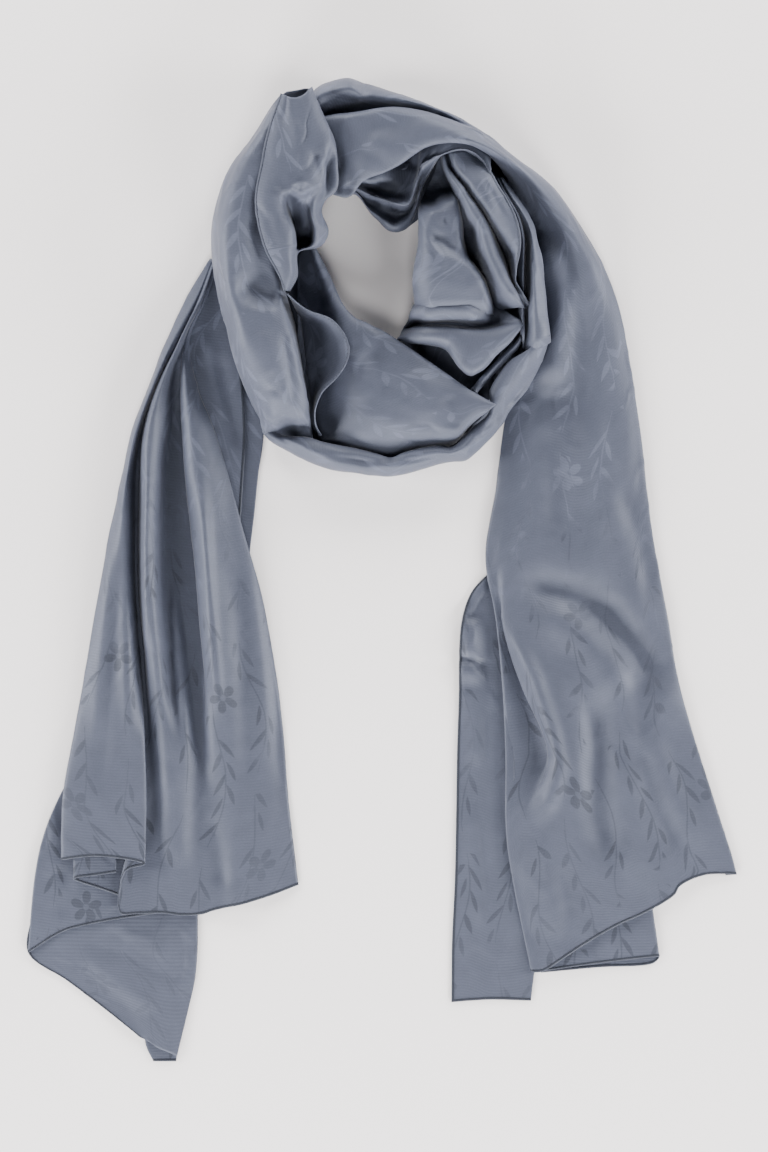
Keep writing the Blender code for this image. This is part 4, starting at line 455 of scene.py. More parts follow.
# ---------------------------------------------------------------- nape and right tail
RIGHT_PIVOT = (30.0, 170.0)
STRETCHES["right_tail"] = (
    upright(RIGHT_PIVOT[1], -50, -43, -32, -22, -12, 0, 10)
    + turned(*RIGHT_PIVOT, 90, 75, 60, 45, 30, 15)
    + shifted(RIGHT_PIVOT[0], 170, 130, 90, 50, 10, -30, -75, -120, -160, -185, -194)
), (
    Fold("tuck", (90, 85, 81.5, 81, 90, 95.5, 101, 114, 119, 101, 80, 74, 68, 66, 60, 54, 49, 43, 50, 54,
        56, 56, 58, 71), (22, 24, 24, 25, 30, 33, 33, 33, 32, 12, 5, 3.4, 2, 1, 0.6, 0.6, 0.6, 2.4, 2.8, 3,
        3.2, 3.2, 3.2, 2.4), 64),
    Fold("left edge", (84, 79, 75.5, 74, 83.5, 88.9, 94.2, 107, 111.4, 99.4, 82, 75, 69, 65, 56, 48.3, 43.5,
        37, 43.5, 48, 50, 50, 52, 67), (23, 26, 25.6, 26.6, 31.6, 34.6, 35, 35, 34, 14, 6, 4, 2.4, 1.2, 1.8,
        2, 2, 3, 3.4, 3.6, 3.8, 3.8, 3.8, 3.2), 66),
    Fold("pocket", (82, 77.1, 73.6, 72.1, 81.7, 86.8, 91.8, 104.5, 108.6, 100.6, 87, 80, 74, 71, 62, 54, 49,
        43, 50, 64, 80, 60, 62, 74), (24, 27, 26.8, 27.8, 33.4, 36.3, 37.2, 37.5, 36, 18, 7, 5, 3.4, 1.6, 3,
        4.5, 5, 5, 3.4, 3.4, 3.6, 4.8, 4.8, 3.8), 66),
    Fold("lip", (83, 78, 74.5, 73, 82.5, 87.7, 92.6, 105, 108.8, 103, 93, 87, 82, 77, 70, 63, 58, 51, 47.5,
        61, 77.5, 68, 72, 84), (25, 28, 27.6, 29, 35, 38, 39.3, 39.5, 38.6, 26, 11, 8, 5.6, 3, 3.5, 6, 7,
        7.5, 6, 6.3, 6.5, 6.4, 6, 4.4), 59.8),
    Fold("crest", (88, 83, 80, 79, 87.4, 92, 97.4, 109, 111, 107, 101, 97, 92, 87, 81, 74, 70, 64, 54, 68,
        83, 79, 84, 101.6), (26, 30, 29, 31, 37.6, 40, 41, 41.5, 41, 35, 25, 16, 10, 8, 5, 6.5, 7.5, 8.5,
        8.5, 9, 8.5, 8, 7, 5), 48.1),
    Fold("body 1", (98, 95, 92.4, 93, 98, 103, 108, 116, 113.5, 108.5, 104.5, 102, 100, 94, 92, 87, 83, 78,
        71, 84, 94, 94, 100, 121.8), (26, 30.4, 29.4, 34, 39.4, 41, 41, 41, 39, 35, 29, 22, 16, 11, 8, 7,
        6.5, 8, 9, 9, 7.5, 7.5, 7, 5), 36.4),
    Fold("body 2", (108, 108, 107, 109, 112, 116, 118.6, 121, 116, 110, 107, 106, 106, 102, 103, 101, 98,
        95, 92, 101, 106, 108, 116, 141.6), (26, 30.4, 31, 36, 38.6, 39, 39.4, 38.6, 35, 31, 27, 22, 17,
        12.5, 10.5, 9, 7.5, 8.5, 8.5, 7, 5.5, 6, 6, 4.4), 27.3),
    Fold("body 3", (113, 120, 123.6, 124.6, 126, 127.8, 128.4, 125.4, 117.6, 111, 109, 108.5, 110, 110, 114,
        115, 113, 113, 116, 120, 123, 126, 134, 159.5), (25, 29.6, 31.4, 36, 37, 37.4, 37, 35.4, 31.6, 28,
        24, 19, 16, 12, 10, 9, 9, 9.5, 5, 9, 9, 8.5, 7, 4), 16.3),
    Fold("nape crease", (117, 123, 126, 126.8, 128.2, 129.8, 130.3, 127.2, 118.6, 112, 110.6, 110.4, 113,
        116, 122, 126, 127, 129, 133, 138, 140, 143, 150, 163.4), (24, 24, 19, 18, 18, 22.4, 25, 26.4, 26,
        24, 20, 15, 13, 10, 8, 7.5, 8, 8, 8, 5, 7, 6, 5, 3.6), 10.4),
    Fold("roll", (123, 136, 140, 141.6, 137.4, 136, 135, 130.4, 120, 112.6, 111.8, 111.4, 115, 120, 128,
        133.5, 137, 141, 144, 151, 158, 162, 170, 179.6), (24, 30, 33, 36, 32, 32, 31.6, 28.6, 23, 19, 15,
        11, 9, 7.5, 5.5, 5, 5, 5, 5.5, 6.5, 4, 4, 3.4, 2.4), 3.3),
    Fold("outline", (130.4, 142.6, 147.6, 149.6, 145.8, 142.6, 139.4, 132, 121, 113, 112.6, 112, 116.5, 124,
        131.5, 137.4, 142, 148, 154.8, 163.2, 176.2, 189, 196.9, 200), (16, 18, 19, 20, 20, 20, 20, 18, 14,
        11, 8, 5, 4, 3.5, 3, 2.5, 2.5, 2, 2, 1.8, 1.8, 1.6, 1.4, 1.2), 3),
    Fold("outline foot", (129, 140.6, 145, 147, 143, 140, 137, 129.5, 118.5, 110.5, 109, 108.5, 113, 121,
        128, 134, 138, 143.4, 149.8, 158.2, 170.6, 183, 190, 193), 0.6, 3.4),
)

STRETCHES["right_tail_under"] = level(-206, -226, -248), (
    Fold("lower end", (122, 116, 103), 0.6, 12.8),
    Fold("lower middle", (145, 142, 140), 0.6, 9.4),
    Fold("lower turn", (171, 173.6, 176.3), 0.7, 6.6),
    Fold("turn", (173.6, 176.5, 179.8), 1.5, 2.6),
    Fold("upper turn", (171, 173.6, 176.3), 2.3, 2.6),
    Fold("upper middle", (145, 142, 140), 2.3, 6.8),
    Fold("upper end", (122, 116, 103), 2.3, 12),
)

STRETCHES["right_tail_flap"] = level(-2, -14, -32, -50, -80, -120, -160, -200, -240, -270), (
    Fold("long hem", (68, 57.5, 51.5, 50, 49.6, 48.4, 47.8, 47, 45.2, 44.8), (0.6, 1.4, 0.6, 0.6), 10),
    Fold("ridge", (69, 63, 59, 59, 60, 60, 60, 59, 58, 57),
        (0.6, 2.6, 1.6, 3, 1.6, 0.9, 0.6, 0.6, 0.6, 0.6), 9),
    Fold("dent", (70, 68.5, 67, 68, 72, 76, 76, 75, 73, 72), (0.6, 0.8, 0.8, 0.8, 0.8, 0.9, 0.6), 8.3),
    Fold("hidden end", (80, 84, 90, 95, 103, 108, 108, 104, 101, 96.5), 0.6, 9),
)


# ---------------------------------------------------------------- creases and hems
# Soft creases laid over the folds: how far each lifts the cloth (a trough is negative), how wide it is
# to each side, and the points of its line seen from above, x and y in turn.
CREASES = {
    "right_tail": (
        (-2.2, 1.8, -35, 274, -35, 261, -37, 245), (1.8, 2, -33, 271, -32, 258, -33, 243),
        (-2, 2, -29, 267, -28, 256, -30, 243), (-1.5, 2.5, -24, 251, -20, 247, -13, 244),
        (-2, 2.5, -39, 295, -24, 298, -7, 304, 11, 300, 37, 294, 54, 288),
        (-1.5, 2, 31, 298, 44, 293, 57, 286), (2, 4, -20, 318, -13, 303),
        (-1.2, 5, -20, 274, -3, 267, 6, 256), (1.2, 7, -11, 280, 8, 274, 24, 269),
        (-1, 4, 63, 264, 80, 254, 96, 238),
        (11, 12, 101, 221, 107, 206, 112, 186, 113, 163, 110, 137, 105, 111),
        (-6.5, 11, 80, -8, 104, -11, 126, -16, 146, -29, 161, -43, 175, -63, 183, -84),
        (3.5, 12, 96, -24, 113, -32, 132, -45, 147, -63, 156, -84),
        (-4.5, 11, 134, -74, 141, -95, 143, -112, 141, -134, 146, -169, 149, -194),
        (2.5, 9, 119, -51, 126, -84, 128, -123, 131, -162),
        (-4, 3.5, 77, -35, 84, -54, 94, -80, 102, -106, 106, -121, 100, -142),
        (4, 6, 84, -38, 99, -71, 110, -103, 115, -126, 109, -149, 94, -165),
        (-2, 9, 102, 98, 113, 59, 115, 20), (2, 10, 132, 111, 141, 66, 149, 17),
        (-2, 7, 154, 59, 167, 20, 175, -19), (1.5, 10, 96, -168, 108, -201, 110, -240),
        (-2, 8, 161, -103, 177, -149, 197, -188), (2, 8, 171, -97, 188, -142, 210, -188),
        (-1.5, 6, 115, -188, 121, -220, 119, -253), (-1.5, 5, 84, -188, 91, -220, 96, -246),
    ),
    "left_tail": (
        (-8, 5, -137, 111, -139, 72, -141, 20, -140, -32, -136, -84, -129, -123),
        (-5.5, 5, -129, 66, -128, 7, -125, -45, -119, -103, -113, -149),
        (2.5, 5, -149, 79, -149, 20, -149, -45, -147, -103),
        (-5, 3, -156, 85, -158, 20, -158, -45, -153, -116),
        (3, 2.2, -152, 85, -154, 20, -154, -45, -149, -116),
        (3, 4, -165, 66, -166, 7, -166, -58, -163, -123), (4, 4, -118, 66, -114, 7, -110, -51, -105, -103),
        (1.8, 6, -98, 66, -86, 7, -78, -58, -74, -123), (-2.5, 7, -102, 20, -93, -32, -89, -97, -89, -155),
        (-1.5, 6, -78, 7, -69, -71, -65, -149), (1.5, 5, -177, 33, -181, -45, -186, -123),
        (-1.8, 5, -172, 7, -177, -71, -184, -149), (1.5, 6, -138, -123, -134, -155, -132, -194),
        (-1.5, 5, -146, -136, -145, -168, -143, -201), (-1.5, 5, -111, -155, -108, -181, -104, -207),
    ),
    "left_band": (
        (-3.5, 7, -93, 187, -84, 180, -73, 176, -65, 176), (1.5, 5, -89, 171, -78, 168, -67, 168),
        (-2, 6, -82, 232, -81, 209, -78, 182), (-1.5, 4, -83, 121, -74, 117, -64, 118),
        (1.5, 8, -98, 241, -100, 202, -97, 163), (-1, 5, -104, 215, -102, 176, -94, 144),
        (-2, 3, -65, 157, -60, 131, -56, 105), (1.2, 6, -78, 157, -73, 137, -70, 124),
        (-1, 4, -94, 274, -99, 248, -102, 222),
    ),
    "cuff": (
        (12, 5.5, -54, 251, -52, 240, -50, 227, -51, 215), (-1.5, 3, -46, 274, -42, 261, -39, 248),
        (1.2, 4, -56, 293, -54, 274, -54, 254), (-1, 3, -70, 248, -67, 241, -60, 243),
        (-1.5, 2.5, -37, 267, -36, 256, -37, 244), (1.5, 3, -33, 267, -32, 256, -33, 244),
        (-1, 3, -74, 232, -72, 219, -67, 206), (-0.8, 4, -63, 300, -65, 280, -69, 264),
    ),
    "inner_margin": (
        (1, 4, -46, 165, -39, 154, -37, 141), (-1, 3, -50, 144, -46, 124, -45, 105),
    ),
    "front_band": (
        (-2, 6, -21, 176, -7, 169, 6, 162), (-2, 7, -11, 147, -2, 130, 4, 111),
        (2, 9, -24, 144, -20, 124, -15, 105), (1.5, 8, 18, 131, 28, 115, 32, 98),
        (-1.5, 6, 41, 115, 47, 102, 45, 91), (-1.5, 5, -42, 209, -34, 193, -24, 176),
        (1.2, 5, -39, 176, -28, 170, -15, 167),
    ),
    "front_roll": (
        (-1.4, 2, -74, 96, -64, 85, -50, 76, -33, 70), (-1.2, 2, -67, 91, -51, 83, -28, 74, 1, 69),
        (1, 2, -60, 82, -42, 73, -21, 67, 1, 65), (-1, 2, 1, 69, 19, 72, 40, 76),
        (-1.5, 2.5, -34, 76, -8, 71, 18, 72, 44, 78), (-1.5, 2.5, 57, 85, 76, 102, 93, 124),
        (-2.5, 3, 104, 139, 96, 128, 81, 105), (1.2, 4, -54, 79, -28, 69, -2, 63),
    ),
    "right_gathers": (
        (-0.8, 1.4, 27, 214, 32, 208, 35, 201), (-0.8, 1.4, 31, 215, 36, 209, 41, 204),
        (0.8, 1.6, 29, 215, 33, 208, 38, 202), (-1.6, 4, 33, 231, 37, 227, 43, 227),
        (-2.5, 4, 30, 225, 35, 215, 44, 209, 57, 201, 65, 191), (2, 5, 31, 238, 35, 227, 37, 215),
        (-1.5, 4, 76, 222, 80, 206, 83, 189), (-1.2, 3, 57, 261, 67, 245, 75, 227),
        (1.2, 4, 63, 258, 74, 241, 82, 223), (-1.5, 5, 37, 196, 50, 193, 60, 187),
        (1.5, 4, 35, 253, 37, 244, 37, 235),
    ),
    "outer_strip": (
        (-1.5, 2, 93, 206, 93, 176, 92, 147), (-1.2, 2, 100, 196, 102, 176, 103, 160),
        (1, 3, 97, 196, 97, 176, 98, 157),
    ),
    "gathers_front": (
        (-2.5, 4, 13, 157, 19, 162, 28, 163), (-1.5, 4, 37, 178, 54, 176, 67, 174),
        (-1.5, 4, 41, 150, 45, 143, 52, 135), (1.5, 5, 31, 173, 47, 170, 63, 169),
    ),
    "nape_bunch": (
        (-2, 3, -6, 254, 6, 247, 17, 240), (-2, 3, 7, 271, 18, 264, 29, 259),
        (-1.5, 3, 5, 234, 7, 228, 9, 223), (1.2, 3, -5, 238, 2, 232, 4, 223),
        (-1.2, 2.5, -11, 248, -7, 241, -4, 234),
    ),
    "left_tail_edge": (
        (1.5, 5, -115, 157, -110, 124, -102, 92), (-1.5, 4, -107, 144, -100, 111, -93, 79),
        (-1.2, 3, -84, 98, -85, 66, -86, 33),
    ),
    "right_tail_flap": (
        (3.5, 9, 53, -19, 56, -45, 57, -77), (-3.5, 4, 71, -16, 63, -26, 52, -33),
        (-3.5, 4, 45, -54, 58, -58, 69, -65, 76, -80), (1.5, 6, 54, -71, 59, -97, 61, -129),
        (-1.5, 5, 70, -84, 71, -123, 72, -168), (1.2, 6, 56, -149, 62, -188, 63, -233),
        (-1.2, 6, 67, -149, 71, -201, 76, -253),
    ),
    "left_tail_corner": (
        (-1.5, 7, -184, -233, -158, -253, -137, -262), (1.5, 7, -197, -246, -171, -269, -145, -285),
        (-1.5, 5, -137, -230, -134, -246, -133, -269), (1.2, 6, -125, -214, -124, -246, -128, -279),
    ),
    "left_tail_under": (
        (-1, 6, -210, -188, -203, -207, -210, -227), (1, 6, -216, -149, -212, -175, -214, -201),
    ),
}
# How far a sheet runs on out of sight past its solid: the side, how far it runs and how far it sinks.
REACHES = {
    "right_gathers": ("end", 11.0, 9.0),
    "gathers_front": ("end", 4.0, 4.0),
    "outer_strip": ("end", 7.0, 5.0),
    "right_tail": ("start", 7.0, 9.0),
}
TUCKS = {"left_tail_edge": "left_tail"}  # sheets that pass below another one
# Sewn edges that show: a stretch's first or last fold line, its start or end, or a fold line by name.
HEMS = {
    "left_tail": ("end",),
    "left_tail_lap": ("end",),
    "left_tail_edge": ("last",),
    "left_tail_under": ("end",),
    "left_tail_corner": ("first",),
    "left_tail_tip": ("end",),
    "cuff": ("last",),
    "inner_margin": ("last",),
    "right_gathers": ("last",),
    "nape_bunch": ("hem",),
    "right_tail": ("end",),
    "right_tail_under": ("end",),
    "right_tail_flap": ("first", "end"),
}
REVERSE = ("left_tail_corner",)  # stretches that show the cloth's duller back


# ---------------------------------------------------------------- cloth material
class Term:
    """A value in a shader tree, so that the pattern can be written as sums."""

    def __init__(self, tree, value):
        self.tree, self.value = tree, value

    def math(self, operation, *others, clamp=False):
        node = self.tree.nodes.new("ShaderNodeMath")
        node.operation = operation
        node.use_clamp = clamp
        for socket, term in zip(node.inputs, (self, *others)):
            value = term.value if isinstance(term, Term) else term
            if isinstance(value, bpy.types.NodeSocket):
                self.tree.links.new(value, socket)
            else:
                socket.default_value = value
        return Term(self.tree, node.outputs[0])

    def __add__(self, other):
        return self.math("ADD", other)

    def __sub__(self, other):
        return self.math("SUBTRACT", other)

    def __mul__(self, other):
        return self.math("MULTIPLY", other)

    def __truediv__(self, other):
        return self.math("DIVIDE", other)

    def clamped(self):
        return self.math("ADD", 0.0, clamp=True)

    def less(self, other, soft):
        """1 where this is under other, with a soft edge."""
        step = (self * -1.0 + other) / soft
        return step.math("ADD", 0.5, clamp=True)


def noise_of(tree, vector, scale, detail, roughness):
    node = tree.nodes.new("ShaderNodeTexNoise")
    node.inputs["Scale"].default_value = scale
    node.inputs["Detail"].default_value = detail
    node.inputs["Roughness"].default_value = roughness
    tree.links.new(vector, node.inputs["Vector"])
    return Term(tree, node.outputs["Fac"])


def chance(tree, across, along, salt):
    """A random number for each cell."""
    join = tree.nodes.new("ShaderNodeCombineXYZ")
    tree.links.new(across.value, join.inputs[0])
    tree.links.new(along.value, join.inputs[1])
    join.inputs[2].default_value = salt
    node = tree.nodes.new("ShaderNodeTexWhiteNoise")
    node.noise_dimensions = "3D"
    tree.links.new(join.outputs[0], node.inputs["Vector"])
    return Term(tree, node.outputs["Value"])


# The woven pattern, in mm on the cloth.
VINE_PITCH = 27.0  # between the vines
VINE_SWAY = 4.0
VINE_WAVE = 97.0
VINE_LAG = 200.0  # most that a vine is moved along
VINE_SPELL = 7.0  # pairs of leaves from one break in a vine to the next
VINE_SHOWN = 0.8  # share of a spell before its break
STEM_WIDTH = 0.5
STEM_SHARE = 0.75  # how strong a stem shows beside a leaf
LEAF_PITCH = 7.6
LEAF_LENGTH = 7.4  # half a leaf
LEAF_WIDTH = 1.5
LEAF_REACH = 3.9  # from the stem to a leaf's middle
LEAF_TURN = radians(22)
LEAF_SWING = 0.7  # how far luck turns a leaf, in radians
LEAF_LEAST = 0.72  # a leaf's size is this and what luck adds to it
LEAF_LUCK = 0.45
LEAVES_LEFT_OUT = 0.36  # share of them
BLOSSOM_PITCH = 112.0
BLOSSOM_SCATTER = 60.0
BLOSSOM_TURN = 6.28
PETALS = 5
PETAL_ROUND = 0.6  # blunter towards 0
PETAL_REACH = 10.5
HEART_REACH = 2.0
HEART_SHARE = 0.7  # how much plainer a blossom's middle is than its petals
EDGE = 0.5  # softness of the pattern's edges
# The woven pattern is real. Its swap from lighter on the ring to darker at the tails' ends is painted
# sheen, laid on by place along y.
PAINTED_SHEEN_MOTIF_LIGHT = 0.36  # how much lighter the pattern is than the ground on the ring: painted sheen, for where the satin's sheen is weak
PAINTED_SHEEN_MOTIF_DARK = -0.4  # and how much darker at the tails' ends: painted sheen, for where the satin shines
PAINTED_SHEEN_CHANGE = (-90.0, 200.0, 600.0)  # where the painted sheen swaps along y, over how far, and how unevenly

# Noises over the cloth: scale, detail and roughness.
PATCHES = (9.0, 1.0, 0.5)  # where the pattern is woven strongly
CLOUD = (26.0, 4.0, 0.6)
MOTTLE = (95.0, 3.0, 0.6)
GRAIN = (1100.0, 1.0, 0.5)
FUZZ = (700.0, 2.0, 0.5)  # on thread
PATCH_LEAST = 0.25  # where a patch starts, and how steeply it rises
PATCH_GAIN = 4.0

# Ribs across the cloth, the pattern's strength and the roughness, of the satin's face and its back.
Weave = namedtuple("Weave", "rib_pitch rib_tone motif_share roughness")
FACE = Weave(1.9, 0.03, 1.0, 0.54)
BACK = Weave(2.6, 0.06, 0.3, 0.62)
CLOUD_TONE = 0.34  # how much each noise changes the colour
MOTTLE_TONE = 0.26
GRAIN_TONE = 0.34
CLOUD_ROUGH = 0.12  # and the roughness
MOTIF_ROUGH = 0.08
BUMP_STRENGTH = 0.35
BUMP_DEPTH = 0.0002
BUMPS = (0.5, 0.3, 0.6, 1.5)  # shares of the grain, the ribs, the pattern and the clouds
SHEEN = (0.06, 0.35)  # weight and roughness
SHINE = 0.34
SHINE_TINT = (0.82, 0.88, 1.0, 1.0)
THREAD_SHINE = 0.2
THREAD_TONE = (0.85, 0.3)  # the least, and what fuzz adds


def vines(tree, x, y):
    """Mask of the woven vines: swaying stems with leaves to the left and right in turn."""
    column = (x / VINE_PITCH).math("FLOOR")
    lag = chance(tree, column, column, 3.0) * VINE_LAG
    sway = ((y + lag) * (2 * pi / VINE_WAVE)).math("SINE") * VINE_SWAY
    x = x - (column + 0.5) * VINE_PITCH + sway
    y = y + lag
    side = x.math("SIGN")
    y = y / (LEAF_PITCH * 2) + side * 0.25
    row = y.math("FLOOR")
    local = (y - (row + 0.5)) * (LEAF_PITCH * 2)
    right = x * side - LEAF_REACH
    luck = chance(tree, column + side * 0.3, row, 7.0)
    turn = (luck - 0.6) * LEAF_SWING + LEAF_TURN
    across = right * turn.math("COSINE") - local * turn.math("SINE")
    along = right * turn.math("SINE") + local * turn.math("COSINE")
    size = luck * LEAF_LUCK + LEAF_LEAST
    fill = (along / (size * LEAF_LENGTH)).math("POWER", 2.0)
    width = (fill * -1.0 + 1.0) * size * LEAF_WIDTH
    leaf = across.math("ABSOLUTE").less(width, EDGE)
    shown = luck.math("GREATER_THAN", LEAVES_LEFT_OUT)
    spell = (y / VINE_SPELL + chance(tree, column, column, 9.0)).math("FRACT").less(VINE_SHOWN, 0.02)
    stem = x.math("ABSOLUTE").less(STEM_WIDTH, EDGE) * STEM_SHARE
    return (leaf * shown).math("MAXIMUM", stem) * spell


def blossoms(tree, x, y):
    """Mask of scattered blossoms with five round petals."""
    column, row = (x / BLOSSOM_PITCH).math("FLOOR"), (y / BLOSSOM_PITCH).math("FLOOR")
    x = x - (column + 0.5) * BLOSSOM_PITCH - (chance(tree, column, row, 1.0) - 0.5) * BLOSSOM_SCATTER
    y = y - (row + 0.5) * BLOSSOM_PITCH - (chance(tree, column, row, 2.0) - 0.5) * BLOSSOM_SCATTER
    angle = y.math("ARCTAN2", x) + chance(tree, column, row, 4.0) * BLOSSOM_TURN
    reach = (x * x + y * y).math("SQRT")
    wave = (angle * (PETALS / 2)).math("COSINE").math("ABSOLUTE")
    petal = wave.math("POWER", PETAL_ROUND) * PETAL_REACH
    heart = reach.less(HEART_REACH, 0.6)
    return (reach.less(petal, 0.8) - heart * HEART_SHARE).math("MAXIMUM", 0.0)


def new_material(name):
    """A material, its tree and its shader."""
    material = bpy.data.materials.new(name)
    material.use_nodes = True
    return material, material.node_tree, material.node_tree.nodes["Principled BSDF"]


def tint(tree, shader, colour, tone):
    """Colours the shader with a colour made lighter or darker by a tone."""
    mix = tree.nodes.new("ShaderNodeVectorMath")
    mix.operation = "SCALE"
    mix.inputs[0].default_value = colour
    tree.links.new(tone.value, mix.inputs["Scale"])
    tree.links.new(mix.outputs[0], shader.inputs["Base Color"])


def satin(name, colour, weave):
    """Satin with a woven pattern of vines and blossoms, painted lighter on the ring and darker down the
    tails as painted sheen.
    """
    material, tree, shader = new_material(name)
    place = tree.nodes.new("ShaderNodeTexCoord")
    cloth = place.outputs["UV"]
    ways = []
    for space in ("UV", "Object"):
        split = tree.nodes.new("ShaderNodeSeparateXYZ")
        tree.links.new(place.outputs[space], split.inputs[0])
        ways += [Term(tree, output) * 1000.0 for output in split.outputs[:2]]
    x, y, _, up = ways
    patches = ((noise_of(tree, cloth, *PATCHES) - PATCH_LEAST) * PATCH_GAIN).clamped()
    mask = vines(tree, x, y).math("MAXIMUM", blossoms(tree, x, y)) * patches
    cloud = noise_of(tree, cloth, *CLOUD)
    # Painted sheen: the pattern's tone turns from darker to lighter along y.
    middle, length, uneven = PAINTED_SHEEN_CHANGE
    sheen_fade = ((up - middle + (cloud - 0.5) * uneven) / length).clamped()
    motif_sheen_tone = sheen_fade * (PAINTED_SHEEN_MOTIF_LIGHT - PAINTED_SHEEN_MOTIF_DARK) + PAINTED_SHEEN_MOTIF_DARK
    mottle = noise_of(tree, cloth, *MOTTLE)
    grain = noise_of(tree, cloth, *GRAIN)
    ribs = (y * (2 * pi / weave.rib_pitch)).math("SINE") * (grain + 0.5)
    tone = (cloud - 0.5) * CLOUD_TONE + (mottle - 0.5) * MOTTLE_TONE + (grain - 0.5) * GRAIN_TONE + 1.0
    tone = tone + mask * (motif_sheen_tone * weave.motif_share) + ribs * weave.rib_tone
    tint(tree, shader, colour, tone)
    rough = mask * MOTIF_ROUGH + weave.roughness + (cloud - 0.5) * CLOUD_ROUGH
    tree.links.new(rough.value, shader.inputs["Roughness"])
    bump = tree.nodes.new("ShaderNodeBump")
    bump.inputs["Strength"].default_value = BUMP_STRENGTH
    bump.inputs["Distance"].default_value = BUMP_DEPTH
    grains, rib, motifs, clouds = BUMPS
    height = grain * grains + ribs * rib + mask * motifs + cloud * clouds
    tree.links.new(height.value, bump.inputs["Height"])
    tree.links.new(bump.outputs[0], shader.inputs["Normal"])
    shader.inputs["Sheen Weight"].default_value, shader.inputs["Sheen Roughness"].default_value = SHEEN
    shader.inputs["Specular IOR Level"].default_value = SHINE
    shader.inputs["Specular Tint"].default_value = SHINE_TINT
    return material


def thread(name, colour, roughness):
    """Plain thread and rolled cloth, slightly uneven."""
    material, tree, shader = new_material(name)
    place = tree.nodes.new("ShaderNodeTexCoord")
    fuzz = noise_of(tree, place.outputs["Object"], *FUZZ)
    least, more = THREAD_TONE
    tint(tree, shader, colour, fuzz * more + least)
    shader.inputs["Roughness"].default_value = roughness
    shader.inputs["Specular IOR Level"].default_value = THREAD_SHINE
    return material


# ---------------------------------------------------------------- cloth pieces
UP = Vector((0.0, 0.0, 1.0))
HEM_WIDTH = 1.9
HEM_THICK = 1.1
HEM_SIDES = 8
HEM_LIFT = 0.6  # of a hem that lies on a fold line
STITCH_PITCH = 2.7
STITCH_LENGTH = 1.7
STITCH_THICK = 0.32
STITCH_SIDES = 4
SEAM_IN = 0.8  # the seam's place on a hem, as shares of the hem's width and thickness
SEAM_UP = 0.42
SEAM_GAPS = (2.0, 1.0)  # from a hem's ends to its first and its last stitch
CREASE_END = 0.22  # share of a crease's length over which it fades away at each end
REACH_SAG = 1.5  # how a sheet that runs on sinks: 1 for a straight slope, more for a curved one
RING_CRUMPLE = 1.3
TAIL_CRUMPLE = 0.8
BROAD = (34, 50, 30)  # lengths of the broad waves along x, y and the height
STREAK = (9, 60)  # lengths of the streaks across and along the folds
CREASE = (15, 24)  # and of the small creases
PATCH = (33, 41)  # and of the patches that have small creases
BROAD_SHARE = 0.7
STREAK_SHARE = 0.4
CREASED_SHARE = 0.2  # how much of the cloth has small creases: 0 for half of it
CREASE_SPREAD = 0.2
CREASE_SHARP = 1.5
SALT_STEP = 7.3  # how far apart the pieces' crumples are drawn
UV_STEPS = (131.0, 57.0)  # and their parts of the woven pattern
LAYER_CENTRE = (-8.0, 198.0, -1.0)  # just below the surface
LAYER_RADII = (30.0, 133.0, 1.0)
LAYER_INSETS = (3.0, 2.0)  # from the inner and outer edges of the walls over the layers
LAYER_FLOOR = 0.3
LAYER_STEPS = 48
LAYER_TURN = 2  # degrees


def normals_of(grid):
    along, across = np.gradient(grid, axis=0), np.gradient(grid, axis=1)
    return unit(np.cross(across, along))


def lengths_of(grid):
    """Arc lengths on the cloth (across, along) of every grid point, in mm."""
    across = np.linalg.norm(np.diff(grid, axis=1), axis=-1)
    along = np.linalg.norm(np.diff(grid, axis=0), axis=-1)
    u = np.concatenate([np.zeros((len(grid), 1)), np.cumsum(across, axis=1)], axis=1)
    v = np.concatenate([np.zeros((1, grid.shape[1])), np.cumsum(along, axis=0)], axis=0)
    return u - u[:, -1:] / 2, v


def creased(grid, creases):
    """Lifts the cloth along its creases."""
    for lift, width, *line in creases:
        line = np.array(line, float).reshape(-1, 2)
        nearest = np.full(grid.shape[:2], np.inf)
        where = np.zeros(grid.shape[:2])
        spans = np.linalg.norm(np.diff(line, axis=0), axis=1)
        done = 0.0
        for a, b, span in zip(line[:-1], line[1:], spans):
            t = np.clip(((grid[..., :2] - a) @ (b - a)) / span**2, 0, 1)
            far = np.linalg.norm(grid[..., :2] - a - t[..., None] * (b - a), axis=-1)
            where = np.where(far < nearest, (done + t * span) / spans.sum(), where)
            nearest = np.minimum(nearest, far)
            done += span
        ends = np.clip(np.minimum(where, 1 - where) / CREASE_END, 0, 1)
        shape = np.exp(-((nearest / width) ** 2)) * ends * ends * (3 - 2 * ends)
        grid[..., 2] += lift * shape


def reached(grid, side, length, sink):
    """The sheet carried on past its start or its end, sinking as it goes."""
    grid = grid[::-1] if side == "end" else grid
    way = grid[0] - grid[2]
    way[:, 2] = 0
    far = np.linspace(1, 0, ceil(length / FINE_ACROSS), endpoint=False)[:, None, None]
    more = grid[0] + unit(way) * length * far
    more[..., 2] -= sink * far[..., 0] ** REACH_SAG
    grid = np.concatenate([more, grid])
    return grid[::-1] if side == "end" else grid


def tucked(grid, over):
    """Presses the sheet down where it passes below another one."""
    bpy.context.view_layer.update()
    tree = BVHTree.FromObject(over, bpy.context.evaluated_depsgraph_get())
    for point in grid.reshape(-1, 3):
        hit = tree.ray_cast(Vector((point[0], point[1], -1.0)) * MM, UP)[0]
        if hit:
            point[2] = min(point[2], hit.z / MM - SHEET)


